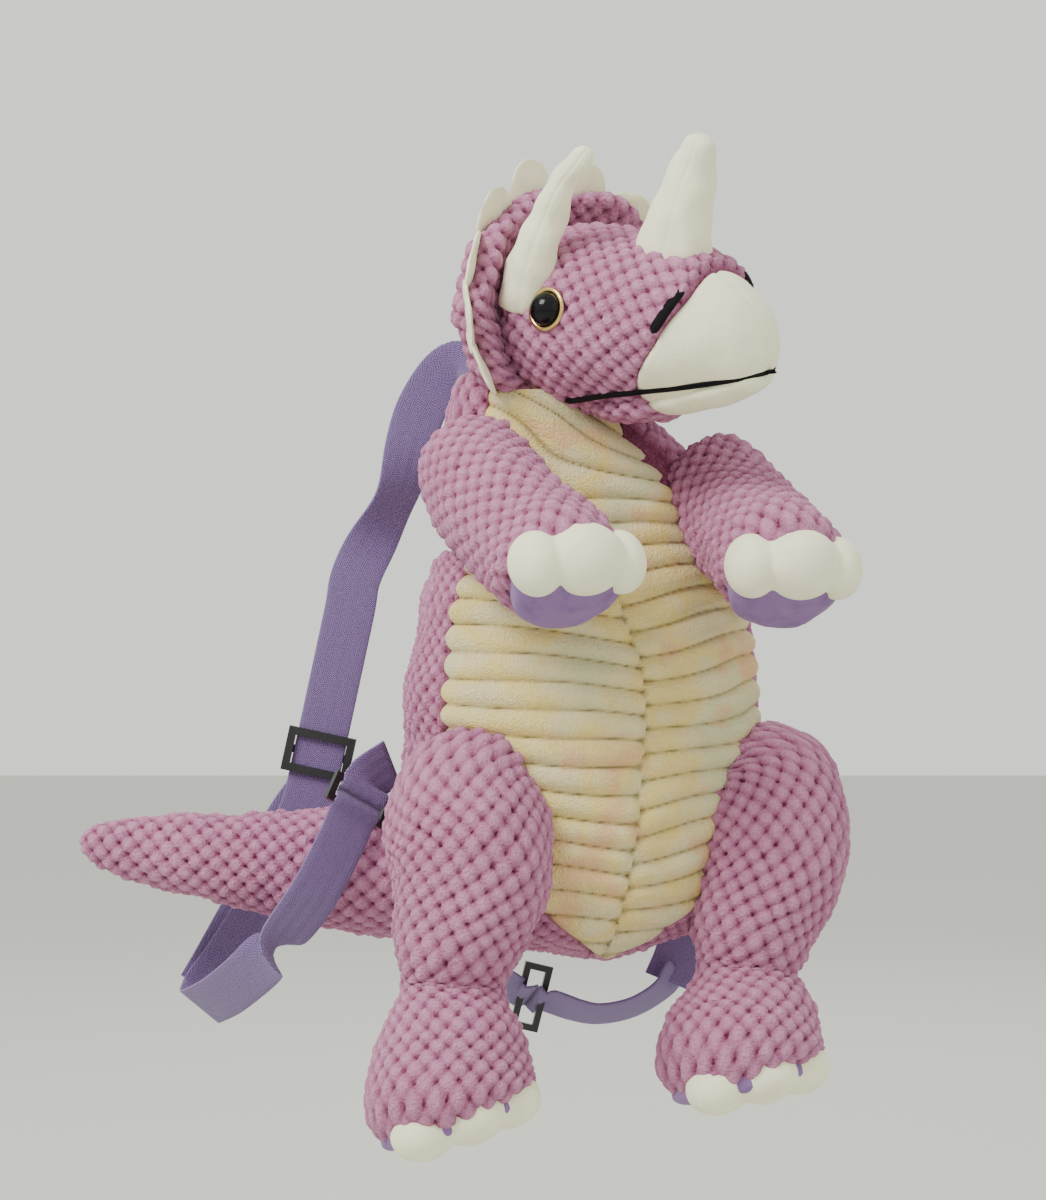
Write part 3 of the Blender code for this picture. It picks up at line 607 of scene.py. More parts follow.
def mesh_object(name: str, verts: Array, faces: list, values: dict[str, Array],
                uv: Array | None = None) -> bpy.types.Object:
    """Makes a smooth-shaded object.

    Args:
        name: the piece's name.
        verts: its points in world coordinates.
        faces: rows of point numbers.
        values: numbers to store on the points, by attribute name.
        uv: a UV place for each point, if the finish needs one.

    Returns:
        The linked object.
    """
    mesh = bpy.data.meshes.new(name)
    mesh.from_pydata(verts.tolist(), [], faces)
    for key, numbers in values.items():
        layer = mesh.attributes.new(key, "FLOAT", "POINT")
        layer.data.foreach_set("value", np.asarray(numbers, np.float32).ravel())
    if uv is not None:
        layer = mesh.uv_layers.new(name="UVMap")
        corner = np.empty(len(mesh.loops), np.int32)
        mesh.loops.foreach_get("vertex_index", corner)
        layer.data.foreach_set("uv", np.asarray(uv, np.float32)[corner].ravel())
    mesh.shade_smooth()
    mesh.validate()
    made = bpy.data.objects.new(name, mesh)
    bpy.context.collection.objects.link(made)
    return made


def grid_faces(rows: int, columns: int, offset: int) -> list:
    """Returns the quads of a grid that closes round its columns."""
    number = np.arange(rows * columns).reshape(rows, columns) + offset
    nxt = np.roll(number, -1, axis=1)
    quads = np.stack([number[:-1], nxt[:-1], nxt[1:], number[1:]], axis=-1)
    return quads.reshape(-1, 4).tolist()


def closed_piece(name: str, points: Array, pile: Array) -> bpy.types.Object:
    """Makes a closed piece of a grid whose first and last rows become poles.

    Args:
        name: the piece's name.
        points: rows by columns by 3, in world coordinates.
        pile: the share of full puff or rib height at each point, which the plush finishes turn into
            painted shade where it is low.

    Returns:
        The object, with its faces pointing out.
    """
    inner, shade = points[1:-1], pile[1:-1]
    rows, columns = inner.shape[:2]
    verts = np.vstack([points[0].mean(axis=0), inner.reshape(-1, 3), points[-1].mean(axis=0)])
    faces = grid_faces(rows, columns, 1)
    last = rows * columns + 1
    end = 1 + (rows - 1) * columns
    for step in range(columns):
        nxt = (step + 1) % columns
        faces.append([0, 1 + nxt, 1 + step])
        faces.append([last, end + step, end + nxt])
    if signed_volume(verts, faces) < 0.0:
        faces = [face[::-1] for face in faces]
    values = np.concatenate([[pile[0].mean()], shade.ravel(), [pile[-1].mean()]])
    return mesh_object(name, verts, faces, {"pile": values})


def signed_volume(verts: Array, faces: list) -> float:
    """Returns the volume inside the faces, below zero if they point in."""
    first = np.array([face[0] for face in faces])
    second = np.array([face[1] for face in faces])
    third = np.array([face[2] for face in faces])
    fourth = np.array([face[-1] for face in faces])
    centre = verts.mean(axis=0)
    a, b, c, d = (verts[index] - centre for index in (first, second, third, fourth))
    return float(np.sum(np.cross(a, b) * c) + np.sum(np.cross(a, c) * d))


def dress(piece: bpy.types.Object, finish: bpy.types.Material, slot: Slot, body: str | None,
          *stands_for: str) -> bpy.types.Object:
    """Gives a piece its finish and body.

    Args:
        piece: the object.
        finish: its material.
        slot: the record's slot for it; not used.
        body: the body that it rides on, or None to leave it unattached.
        stands_for: the CAD nodes that it replaces.

    Returns:
        The piece.
    """
    piece.data.materials.clear()
    piece.data.materials.append(finish)
    if body:
        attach(piece, body)
    if stands_for:
        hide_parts(*stands_for)
    LOG.info("%s: %d faces", piece.name, len(piece.data.polygons))
    return piece


# ---- puffed limbs --------------------------------------------------------------------------
STEP = 0.00110
FINE = 0.00022
SAG = 0.0011
PUFFS = Puffs()


def puffed(name: str, skin: Skin, place: Place, seed: int, keep: Array | float = 1.0,
           sink: Array | float = 0.0, sag: float = SAG) -> bpy.types.Object:
    """Makes a plush piece by raising puffs on a skin.

    Args:
        name: the piece's name.
        skin: the cloth under the puffs.
        place: the frame that the skin is drawn in.
        seed: sets the cloth's unevenness.
        keep: the share of the puffs that is kept at each point.
        sink: how far each point is pressed in, in metres.
        sag: the depth of the stuffing's soft unevenness.

    Returns:
        The object.
    """
    lift, pile = PUFFS.lift(skin.along, skin.around, seed)
    seam = np.clip((math.pi - np.abs(skin.angle)) / 0.05, 0.0, 1.0)
    # The pile share sets the mauve finish's painted shade, so the flat seam line and the places where
    # puffs are taken away are painted dark.
    lift, pile = lift * keep * seam, pile * np.clip(keep * seam + 0.15, 0.0, 1.0)
    uneven = ripple(skin.points, 0.042, seed) * sag + ripple(skin.points, 0.0026, seed + 1) * FINE
    points = skin.points + skin.normals() * (lift + uneven - sink)[..., None]
    return closed_piece(name, place.world(points), pile)


def smooth_piece(name: str, skin: Skin, place: Place, seed: int, sink: Array | float = 0.0,
                 sag: float = 0.0005) -> bpy.types.Object:
    """Makes a short-pile piece from a skin, with faint unevenness."""
    uneven = ripple(skin.points, 0.020, seed) * sag + ripple(skin.points, 0.0030, seed + 1) * 0.00006
    points = skin.points + skin.normals() * (uneven - sink)[..., None]
    return closed_piece(name, place.world(points), np.ones(points.shape[:2]))


@dataclass
class Limb:
    """An arm or a leg: a puffed sleeve, a toe cap of three lobes and a smooth pad."""

    name: str
    body: str
    stations: tuple
    toes: str
    pad: str
    toe_way: tuple
    toe_lobes: tuple
    pad_depth: float
    lean: tuple[float, float]
    seed: int
    root_reach: float = 0.034
    finishes: Finishes | None = field(default=None, repr=False)

    def end(self) -> tuple[Array, Array, Array, Array, float]:
        """Returns the end's centre, its outward, toe and side directions and its radius."""
        path = np.array(self.stations)
        along = unit(path[-1, :3] - path[-2, :3])
        front = unit(np.array(self.toe_way) - along * float(along @ np.array(self.toe_way)))
        side = np.cross(front, along)
        out = unit(along - side * self.lean[0] - front * self.lean[1])
        forward = unit(front - out * float(out @ front))
        return path[-1, :3], out, forward, np.cross(forward, out), float(path[-1, 3])

    def build(self) -> None:
        """Makes the sleeve, the toes and the pad."""
        path = np.array(self.stations)
        wide = np.column_stack([path[:, :3], path[:, 3] - 0.0016, path[:, 3] - 0.0016])
        loft = Loft(wide, self.toe_way, 0.016, 0.011, self.lean)
        skin = loft.skin(STEP)
        sleeve = puffed(self.name, skin, TORSO, self.seed)
        dress(sleeve, self.finishes.mauve, Slot.MAUVE, None,
              self.body + "_skin", self.body + "_filling")
        root = TORSO.world(path[0, :3])
        out = TORSO.turned(tuple(unit(path[2, :3] - path[0, :3])))
        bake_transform(sleeve)
        self.build_pad()
        self.build_toes()

    def build_pad(self) -> None:
        """Makes the smooth pad as a shallow cushion over the end."""
        centre, along, forward, side, radius = self.end()
        rings = [(-0.010, 0.90), (-0.002, 0.97), (0.35, 0.94), (0.75, 0.70), (1.0, 0.40)]
        stations = []
        for rise, part in rings:
            lift = rise * self.pad_depth if rise > 0.0 else rise
            spot = centre + along * lift - forward * 0.0015
            stations.append([*spot, radius * part * 0.97, radius * part * 0.95])
        loft = Loft(np.array(stations), tuple(forward), 0.003, 0.004)
        pad = smooth_piece(self.pad, loft.skin(0.0016), TORSO, self.seed + 5)
        dress(pad, self.finishes.lavender, Slot.LAVENDER, self.body, self.pad)

    def build_toes(self) -> None:
        """Makes the toe cap as three lobes that run into each other."""
        centre, along, forward, side, radius = self.end()
        balls = []
        for across, up, out, wide, tall, deep in self.toe_lobes:
            spot = centre + side * across + forward * up + along * out
            turn = TORSO.matrix() @ np.column_stack([side, forward, along])
            balls.append((TORSO.world(spot), turn, (wide, tall, deep)))
        cap = lobed_piece(self.toes, balls, 0.0011)
        dress(cap, self.finishes.cream, Slot.CREAM, self.body, self.toes)


def lobed_piece(name: str, balls: list, voxel: float) -> bpy.types.Object:
    """Melts stretched balls into one stuffed piece.

    Args:
        name: the piece's name.
        balls: a place, a turn and three radii for each.
        voxel: the spacing of the new surface.

    Returns:
        The object.
    """
    parts = []
    for place, turn, radii in balls:
        bpy.ops.object.select_all(action="DESELECT")
        bpy.ops.mesh.primitive_uv_sphere_add(segments=40, ring_count=24, radius=1.0)
        ball = bpy.context.active_object
        shape = Matrix(turn.tolist()).to_4x4() @ Matrix.Diagonal((*radii, 1.0))
        ball.data.transform(Matrix.Translation(Vector(place)) @ shape)
        parts.append(ball)
    bpy.ops.object.select_all(action="DESELECT")
    for part in parts:
        part.select_set(True)
    bpy.context.view_layer.objects.active = parts[0]
    bpy.ops.object.join()
    piece = bpy.context.active_object
    piece.name = name
    piece.data.name = name
    melt = piece.modifiers.new("melt", "REMESH")
    melt.mode = "VOXEL"
    melt.voxel_size = voxel
    soften = piece.modifiers.new("soften", "SMOOTH")
    soften.factor = 0.5
    soften.iterations = 6
    for step in ("melt", "soften"):
        bpy.ops.object.modifier_apply(modifier=step)
    piece.data.shade_smooth()
    return piece


# ---- torso -----------------------------------------------------------------------------------
@dataclass
class Torso:
    """The body: a puffed cover, pressed in round the zip in the flat back, and the ribbed belly panel."""

    finishes: Finishes
    back_flat: float = 0.0535
    zip_half_width: float = 0.0105
    zip_bottom: float = -0.070
    zip_top: float = 0.036
    rib: float = 0.0118
    rib_height: float = 0.0036
    stations: tuple = (
        (0.0, 0.000, -0.130, 0.036, 0.030),
        (0.0, 0.000, -0.119, 0.056, 0.043),
        (0.0, 0.000, -0.096, 0.076, 0.054),
        (0.0, 0.000, -0.060, 0.0845, 0.0605),
        (0.0, 0.000, -0.015, 0.0845, 0.0605),
        (0.0, 0.000, 0.030, 0.0785, 0.0555),
        (-0.002, 0.000, 0.070, 0.065, 0.0465),
        (-0.017, -0.002, 0.100, 0.050, 0.0390),
        (-0.026, -0.002, 0.122, 0.040, 0.0330),
        (-0.026, -0.005, 0.144, 0.034, 0.0290),
    )
    # Height and half angle in degrees of the belly panel's edge.
    belly_edge: tuple = ((-0.131, 3.0), (-0.120, 20.0), (-0.100, 38.0), (-0.072, 55.0),
                         (-0.040, 64.0), (0.000, 69.0), (0.045, 68.0), (0.080, 60.0),
                         (0.110, 54.0), (0.145, 52.0))

    def edge_angle(self, height: Array) -> Array:
        """Returns the belly's half angle at a height, in radians."""
        table = np.array(self.belly_edge)
        dense = smooth_through(table, np.linspace(0.0, 1.0, 400))
        return np.radians(np.interp(height, dense[:, 0], dense[:, 1]))

    def flatten_back(self, points: Array) -> Array:
        """Presses the back flat where it lies against the wearer."""
        over = np.maximum(points[..., 1] - self.back_flat, 0.0)
        points = points.copy()
        points[..., 1] -= over * 0.93
        return points

    def build_cover(self) -> None:
        """Makes the puffed cover, pressed in under the belly and the zip."""
        skin = Loft(np.array(self.stations), (0.0, -1.0, 0.0), 0.020, 0.010).skin(STEP)
        skin.points = self.flatten_back(skin.points)
        height = skin.points[..., 2]
        inside = soft_step(self.edge_angle(height) - np.abs(skin.angle), -0.02, 0.05)
        beside_zip = np.abs(skin.points[..., 0])
        by_zip = ((1.0 - soft_step(beside_zip, self.zip_half_width, self.zip_half_width + 0.003))
                  * (np.abs(skin.angle) > 2.0)
                  * soft_step(height, self.zip_bottom - 0.006, self.zip_bottom)
                  * (1.0 - soft_step(height, self.zip_top, self.zip_top + 0.006)))
        # Keep also lowers the pile share, which paints shade under the belly panel and along the zip.
        keep = (1.0 - inside) * (1.0 - by_zip)
        sag = SAG * 1.3
        cover = puffed("torso_cover", skin, TORSO, 3, keep, inside * 0.0030 + by_zip * 0.0016, sag)
        dress(cover, self.finishes.mauve, Slot.MAUVE, "torso", "front_padding",
              "side_padding_left", "side_padding_right", "top_padding", "seat_padding",
              "back_panel_left", "back_panel_right")

    def build_belly(self) -> None:
        """Makes the ribbed panel as a padded sheet that tucks in at its edges."""
        table = smooth_through(np.array(self.stations), np.linspace(0.0, 1.0, 1500))
        heights = np.arange(self.belly_edge[0][0] + 0.0008, 0.135, 0.0010)
        rows = np.stack([np.interp(heights, table[:, 2], column) for column in table.T], axis=1)
        share = np.linspace(-1.0, 1.0, 168)
        half = self.edge_angle(heights)[:, None]
        centre_x = rows[:, 0:1] + rows[:, 3:4] * np.sin(half * share)
        split = self.crease(heights)[:, None]
        right_half = centre_x > split
        slope = np.where(right_half, -0.14, 0.10) * (centre_x - split)
        wander = 0.0016 * np.sin(centre_x / 0.017 + heights[:, None] * 61.0)
        neck = soft_step(heights[:, None], 0.085, 0.125) * (centre_x * 0.55)
        low = 1.0 - soft_step(heights[:, None], 0.045, 0.090)
        phase = ((heights[:, None] + slope * low + wander + neck) / self.rib
                 + np.where(right_half, 0.0, 0.46 * low))
        wave = np.abs(np.sin(phase * math.pi))
        swell = wave ** 0.62
        angle = half * share * (1.0 + 0.045 * (swell - 0.5))
        base = np.stack([rows[:, 0:1] + rows[:, 3:4] * np.sin(angle),
                         rows[:, 1:2] - rows[:, 4:5] * np.cos(angle),
                         np.broadcast_to(heights[:, None], angle.shape)], axis=-1)
        out = unit(np.stack([np.sin(angle) / rows[:, 3:4], -np.cos(angle) / rows[:, 4:5],
                             np.zeros_like(angle)], axis=-1))
        from_edge = (1.0 - np.abs(share))[None, :] * half * rows[:, 3:4]
        rounded = round_end(from_edge / 0.0065)
        fold = np.exp(-((base[..., 0] - split) / 0.0035) ** 2) * low
        soft = ripple(base, 0.034, 21) * 0.0011 + ripple(base, 0.0024, 22) * 0.00014
        lift = (0.0010 + swell * self.rib_height - fold * 0.0018 + soft + 0.0032) * rounded - 0.0032
        front = base + out * lift[..., None]
        back_share = (0.9, 0.3, -0.3, -0.9)
        back = np.stack([base[:, int((value + 1.0) / 2.0 * 167)] - out[:, int(
            (value + 1.0) / 2.0 * 167)] * 0.0055 for value in back_share], axis=1)
        points = np.concatenate([front, back], axis=1)
        # The pile share sets the belly's painted shade: low in the grooves, at the upright fold, towards
        # the tucked edges and on the hidden back.
        pile = np.concatenate([swell * (1.0 - 0.5 * fold) * np.clip(rounded, 0.3, 1.0),
                               np.zeros(back.shape[:2])], axis=1)
        belly = closed_piece("belly_ribs", TORSO.world(points), pile)
        dress(belly, self.finishes.belly, Slot.BELLY, "torso", "belly_panel")

    def crease(self, heights: Array) -> Array:
        """Returns where the panel's upright fold lies at each height."""
        knots = np.array([(-0.131, -0.004), (-0.100, -0.002), (-0.060, 0.002), (0.0, 0.004),
                          (0.060, -0.012), (0.145, -0.030)])
        dense = smooth_through(knots, np.linspace(0.0, 1.0, 200))
        return np.interp(heights, dense[:, 0], dense[:, 1])

    def build(self) -> None:
        """Makes the torso's pieces."""
        self.build_cover()
        self.build_belly()


# ---- head --------------------------------------------------------------------------------------
@dataclass
class Head:
    """The head: puffed cover, cream beak and lip, frill with scallops, horns and eyes."""

    finishes: Finishes
    stations: tuple = (
        (0.046, 0.030, 0.028, 0.004),
        (0.034, 0.042, 0.039, 0.003),
        (0.012, 0.0455, 0.0425, 0.001),
        (-0.015, 0.0435, 0.0405, -0.002),
        (-0.040, 0.0380, 0.0360, -0.005),
        (-0.052, 0.0340, 0.0315, -0.0075),
        (-0.064, 0.0270, 0.0260, -0.0100),
        (-0.074, 0.0190, 0.0195, -0.0125),
        (-0.0795, 0.0110, 0.0120, -0.0145),
        (-0.0820, 0.0035, 0.0045, -0.0155),
    )
    # Angle in degrees from the top and depth of the beak's seam.
    seam: tuple = ((0.0, -0.0585), (45.0, -0.0575), (85.0, -0.0475),
                   (125.0, -0.0300), (180.0, -0.0200))
    mouth_height: float = -0.0275

    def sizes(self, depth: Array) -> tuple[Array, Array, Array]:
        """Returns half width, half height and centre height at each depth."""
        dense = smooth_through(np.array(self.stations), np.linspace(0.0, 1.0, 1200))[::-1]
        columns = [np.interp(depth, dense[:, 0], dense[:, index]) for index in (1, 2, 3)]
        return columns[0], columns[1], columns[2]

    def beak_edge(self, angle: Array) -> Array:
        """Returns the depth of the beak's seam at each angle from the top."""
        dense = smooth_through(np.array(self.seam), np.linspace(0.0, 1.0, 200))
        return np.interp(np.degrees(np.abs(angle)), dense[:, 0], dense[:, 1])

    def build_cover(self) -> None:
        """Makes the puffed head, pressed in under the beak and round the eyes."""
        path = np.array([(0.0, y, z, w, h) for y, w, h, z in self.stations if y > -0.070])
        skin = Loft(path, (0.0, 0.0, 1.0), 0.014, 0.004).skin(STEP)
        under = soft_step(self.beak_edge(skin.angle) - skin.points[..., 1], -0.001, 0.003)
        sink = under * 0.0030
        for side in (-1.0, 1.0):
            eye = np.array([side * 0.0445, 0.004, 0.0150])
            near = np.linalg.norm(skin.points - eye, axis=-1)
            sink = sink + 0.0032 * np.exp(-(near / 0.0085) ** 2)
        near_eye = np.exp(-(near / 0.006) ** 2)
        # Keep also lowers the pile share, which paints shade under the beak and round the +x eye.
        keep = (1.0 - under) * (1.0 - 0.6 * near_eye)
        cover = puffed("head_cover", skin, HEAD, 7, keep, sink, 0.0008)
        dress(cover, self.finishes.mauve, Slot.MAUVE, "head", "head_skin", "head_filling")

    def build_beak(self) -> None:
        """Makes the beak's cream hood, seamed along a slanted edge."""
        rows, columns = 74, 150
        angle = np.linspace(-math.pi, math.pi, columns, endpoint=False)
        share = 1.0 - (1.0 - np.linspace(0.0, 1.0, rows)) ** 1.6
        start = self.beak_edge(angle)[None, :]
        depth = start + (self.stations[-1][0] - start) * share[:, None]
        width, height, middle = self.sizes(depth)
        tuck = round_end((start - depth) / 0.0045)
        grow = -0.0024 + 0.0036 * tuck
        nip = 0.0009 * np.exp(-((np.abs(angle)[None, :] - 0.02) / 0.035) ** 2)
        points = np.stack([(width + grow - nip) * np.sin(angle)[None, :], depth - 0.0004,
                           middle + (height + grow - nip) * np.cos(angle)[None, :]], axis=-1)
        points[0] = points[0].mean(axis=0) * 0.9 + points[0] * 0.1
        points += ripple(points, 0.024, 33)[..., None] * unit(points - [0.0, -0.05, -0.008]) * 0.0006
        beak = closed_piece("beak_hood", HEAD.world(points), np.ones(points.shape[:2]))
        dress(beak, self.finishes.cream, Slot.CREAM, "head", "beak")

    def build_lip(self) -> None:
        """Makes the cream lower lip and the puffed chin behind it."""
        lip = Loft(np.array([
            (0.0, -0.020, -0.0350, 0.024, 0.0050), (0.0, -0.034, -0.0350, 0.028, 0.0080),
            (0.0, -0.052, -0.0330, 0.0265, 0.0090), (0.0, -0.066, -0.0305, 0.020, 0.0080),
            (0.0, -0.0790, -0.0275, 0.010, 0.0055)]), (0.0, 0.0, 1.0), 0.006, 0.005)
        made = smooth_piece("lower_lip", lip.skin(0.0014), HEAD, 41)
        dress(made, self.finishes.cream, Slot.CREAM, "head", "lower_jaw")
        chin = Loft(np.array([
            (0.0, 0.006, -0.0340, 0.026, 0.0060), (0.0, -0.010, -0.0350, 0.031, 0.0080),
            (0.0, -0.024, -0.0355, 0.031, 0.0080), (0.0, -0.034, -0.0355, 0.028, 0.0070)]),
                    (0.0, 0.0, 1.0), 0.008, 0.005)
        made = puffed("chin_cover", chin.skin(STEP), HEAD, 43, sag=0.0004)
        dress(made, self.finishes.mauve, Slot.MAUVE, "head")

    def build_mouth(self) -> None:
        """Makes the mouth's stitched line round both cheeks and the beak."""
        depths = np.linspace(0.010, -0.0848, 60)
        line = []
        for side in (-1.0, 1.0):
            droop = 0.0020 * soft_step(depths, -0.02, 0.010)
            width, height, middle = self.sizes(depths)
            grow = 0.0012 + 0.0014 * soft_step(depths, -0.038, -0.028)
            ratio = np.clip((self.mouth_height - droop - middle) / (height + grow), -1.0, 1.0)
            x = (width + grow) * np.sqrt(1.0 - ratio ** 2)
            half = np.column_stack([side * x, depths, np.full_like(depths, self.mouth_height) - droop])
            line.append(half if side < 0 else half[::-1])
        route = np.vstack(line)
        centre = np.array([0.0, -0.045, self.mouth_height + 0.018])
        self.stitched("mouth_line", route, centre, 0.0015, 0.0009, "mouth_stitch")

    def build_nostrils(self) -> None:
        """Makes a slanted bar of satin stitches on each side of the beak's seam."""
        for side, name in ((-1.0, "right"), (1.0, "left")):
            angle = side * np.radians(np.linspace(40.0, 80.0, 14))
            depth = self.beak_edge(angle) + 0.0008
            width, height, middle = self.sizes(depth)
            grow = 0.0034
            route = np.column_stack([(width + grow) * np.sin(angle), depth,
                                     middle + (height + grow) * np.cos(angle)])
            self.stitched("nostril_bar_" + name, route, np.array([0.0, -0.045, -0.008]),
                          0.0026, 0.0015, "nostril_stitch_" + name)

    def stitched(self, name: str, route: Array, centre: Array, half_width: float, rise: float,
                 node: str) -> None:
        """Makes a raised band of embroidery.

        Args:
            name: the piece's name.
            route: points of the head's frame along the middle of the band.
            centre: a point that the band faces away from.
            half_width: half of the band's width.
            rise: half of its thickness.
            node: the CAD node that it stands for.
        """
        run = running_length(route)
        marks = np.linspace(0.0, run[-1], max(int(run[-1] / 0.0012), 8))
        path = np.stack([np.interp(marks, run, column) for column in route.T], axis=1)
        way = unit(np.gradient(path, axis=0))
        out = unit(path - centre)
        out = unit(out - way * np.sum(out * way, axis=1)[:, None])
        across = np.cross(way, out)
        taper = round_end(marks / 0.0035) * round_end((run[-1] - marks) / 0.0035)
        taper = np.maximum(taper, 0.08)[:, None, None]
        turn = np.linspace(0.0, math.tau, 12, endpoint=False)
        ring = (across[:, None, :] * np.cos(turn)[None, :, None] * half_width * taper
                + out[:, None, :] * np.sin(turn)[None, :, None] * rise * taper)
        points = path[:, None, :] + ring
        piece = tube_piece(name, HEAD.world(points), marks * 1000.0)
        dress(piece, self.finishes.thread, Slot.THREAD, "head", node)

    def build_frill(self) -> None:
        """Makes the cupped frill and its cream scallops."""
        centre, half_width, half_height = np.array([0.006, 0.050, 0.012]), 0.0705, 0.0490
        knots = np.array([(0.011, 0.0), (0.0105, 0.35), (0.008, 0.70), (0.002, 0.93), (-0.008, 1.0),
                          (-0.0145, 0.965), (-0.0125, 0.86), (-0.006, 0.62), (-0.001, 0.30), (0.0, 0.0)])
        dense = smooth_through(knots, np.linspace(0.0, 1.0, 1500))
        dense[:, 1] = np.clip(dense[:, 1], 0.0, 1.0)
        mean = (half_width + half_height) / 2.0
        run = running_length(np.column_stack([dense[:, 0], dense[:, 1] * mean]))
        marks = np.linspace(0.0, run[-1], int(run[-1] / STEP))
        shift, scale = (np.interp(marks, run, dense[:, index]) for index in (0, 1))
        columns = int(math.tau * mean / STEP)
        angle = np.linspace(-math.pi, math.pi, columns, endpoint=False)
        grow = 1.0 + 0.035 * np.cos(angle * 9.0)[None, :] * scale[:, None] ** 4
        points = np.stack([half_width * scale[:, None] * np.sin(angle)[None, :] * grow,
                           np.repeat(shift[:, None], columns, 1),
                           half_height * scale[:, None] * np.cos(angle)[None, :] * grow], axis=-1)
        points[..., 1] -= 0.010 * scale[:, None] ** 2 * np.abs(np.sin(angle))[None, :]
        skin = Skin(points + centre, np.repeat(marks[:, None], columns, 1),
                    scale[:, None] * mean * angle[None, :], np.repeat(angle[None, :], len(marks), 0))
        frill = puffed("frill_cover", skin, HEAD, 11, sag=0.0009)
        dress(frill, self.finishes.mauve, Slot.MAUVE, "head", "frill")
        self.build_scallops(centre, half_width, half_height)

    def build_scallops(self, centre: Array, half_width: float, half_height: float) -> None:
        """Makes the nine scallops sewn into the frill's rim."""
        verts, faces = [], []
        for number in range(9):
            angle = math.radians(-112.0 + 28.0 * number)
            rim = np.array([half_width * math.sin(angle), 0.0, half_height * math.cos(angle)])
            out = unit(np.array([half_height * math.sin(angle), 0.0, half_width * math.cos(angle)]))
            bend = abs(math.sin(angle)) ** 1.5
            rim = rim + centre + np.array([0.0, -0.0060 - 0.010 * bend, 0.0])
            out = unit(out + np.array([0.0, -0.10 - 0.90 * bend, 0.0]))
            face = np.cross(out, np.array([math.cos(angle), 0.0, -math.sin(angle)]))
            shares = np.linspace(0.0, 1.0, 9)
            reach = 0.0190 + 0.0055 * (1.0 - bend)
            stations = [[*(rim + out * (-0.006 + reach * share)),
                         0.0170 * math.sqrt(max(1.0 - share ** 2.2, 0.02)),
                         0.0019 * math.sqrt(max(1.0 - share ** 2, 0.04))] for share in shares]
            skin = Loft(np.array(stations), tuple(face), 0.001, 0.0012).skin(0.0012)
            sewn = skin.points + skin.normals() * (ripple(skin.points, 0.012, number) * 0.00035)[..., None]
            piece = closed_piece("scallop", HEAD.world(sewn), np.ones(sewn.shape[:2]))
            offset = len(verts)
            verts.extend([tuple(vertex.co) for vertex in piece.data.vertices])
            faces.extend([[index + offset for index in face.vertices]
                          for face in piece.data.polygons])
            bpy.data.objects.remove(piece, do_unlink=True)
        pile = {"pile": np.ones(len(verts))}
        made = mesh_object("frill_scallop_row", np.array(verts), faces, pile)
        dress(made, self.finishes.cream, Slot.CREAM, "head", "frill_scallops")

    def build_horn(self, name: str, node: str, stations: tuple, seed: int) -> None:
        """Makes one stuffed horn with a seam down its side."""
        path = np.array([(x, y, z, r, r) for x, y, z, r in stations])
        skin = Loft(path, (0.6, -0.8, 0.0), 0.004, 0.0045).skin(0.0011)
        seam = np.exp(-(((np.abs(skin.angle) - 1.9) * path[:, 3].mean()) / 0.0009) ** 2) * 0.0004
        pull = ripple(skin.points * np.array([1.0, 1.0, 0.35]), 0.010, seed) * 0.00025
        horn = smooth_piece(name, skin, HEAD, seed, seam + pull, 0.0006)
        dress(horn, self.finishes.cream, Slot.CREAM, "head", node)

    def build_horns(self) -> None:
        """Makes the nose horn and both brow horns."""
        self.build_horn("nose_horn_cover", "nose_horn", (
            (0.000, -0.034, 0.018, 0.0198), (0.002, -0.039, 0.034, 0.0172),
            (0.0055, -0.045, 0.052, 0.0135), (0.009, -0.051, 0.068, 0.0100),
            (0.011, -0.056, 0.081, 0.0062)), 51)
        self.build_horn("brow_horn_right_cover", "brow_horn_right", (
            (-0.034, 0.025, 0.014, 0.0130), (-0.035, 0.020, 0.026, 0.0130),
            (-0.034, 0.012, 0.042, 0.0104), (-0.031, 0.003, 0.058, 0.0080),
            (-0.0285, -0.0040, 0.069, 0.0064), (-0.0255, -0.0120, 0.077, 0.0058),
            (-0.0235, -0.0175, 0.083, 0.0040)), 53)
        self.build_horn("brow_horn_left_cover", "brow_horn_left", (
            (0.036, -0.001, 0.020, 0.0125), (0.040, -0.007, 0.034, 0.0115),
            (0.044, -0.013, 0.048, 0.0090), (0.048, -0.018, 0.059, 0.0066),
            (0.051, -0.022, 0.067, 0.0042)), 55)

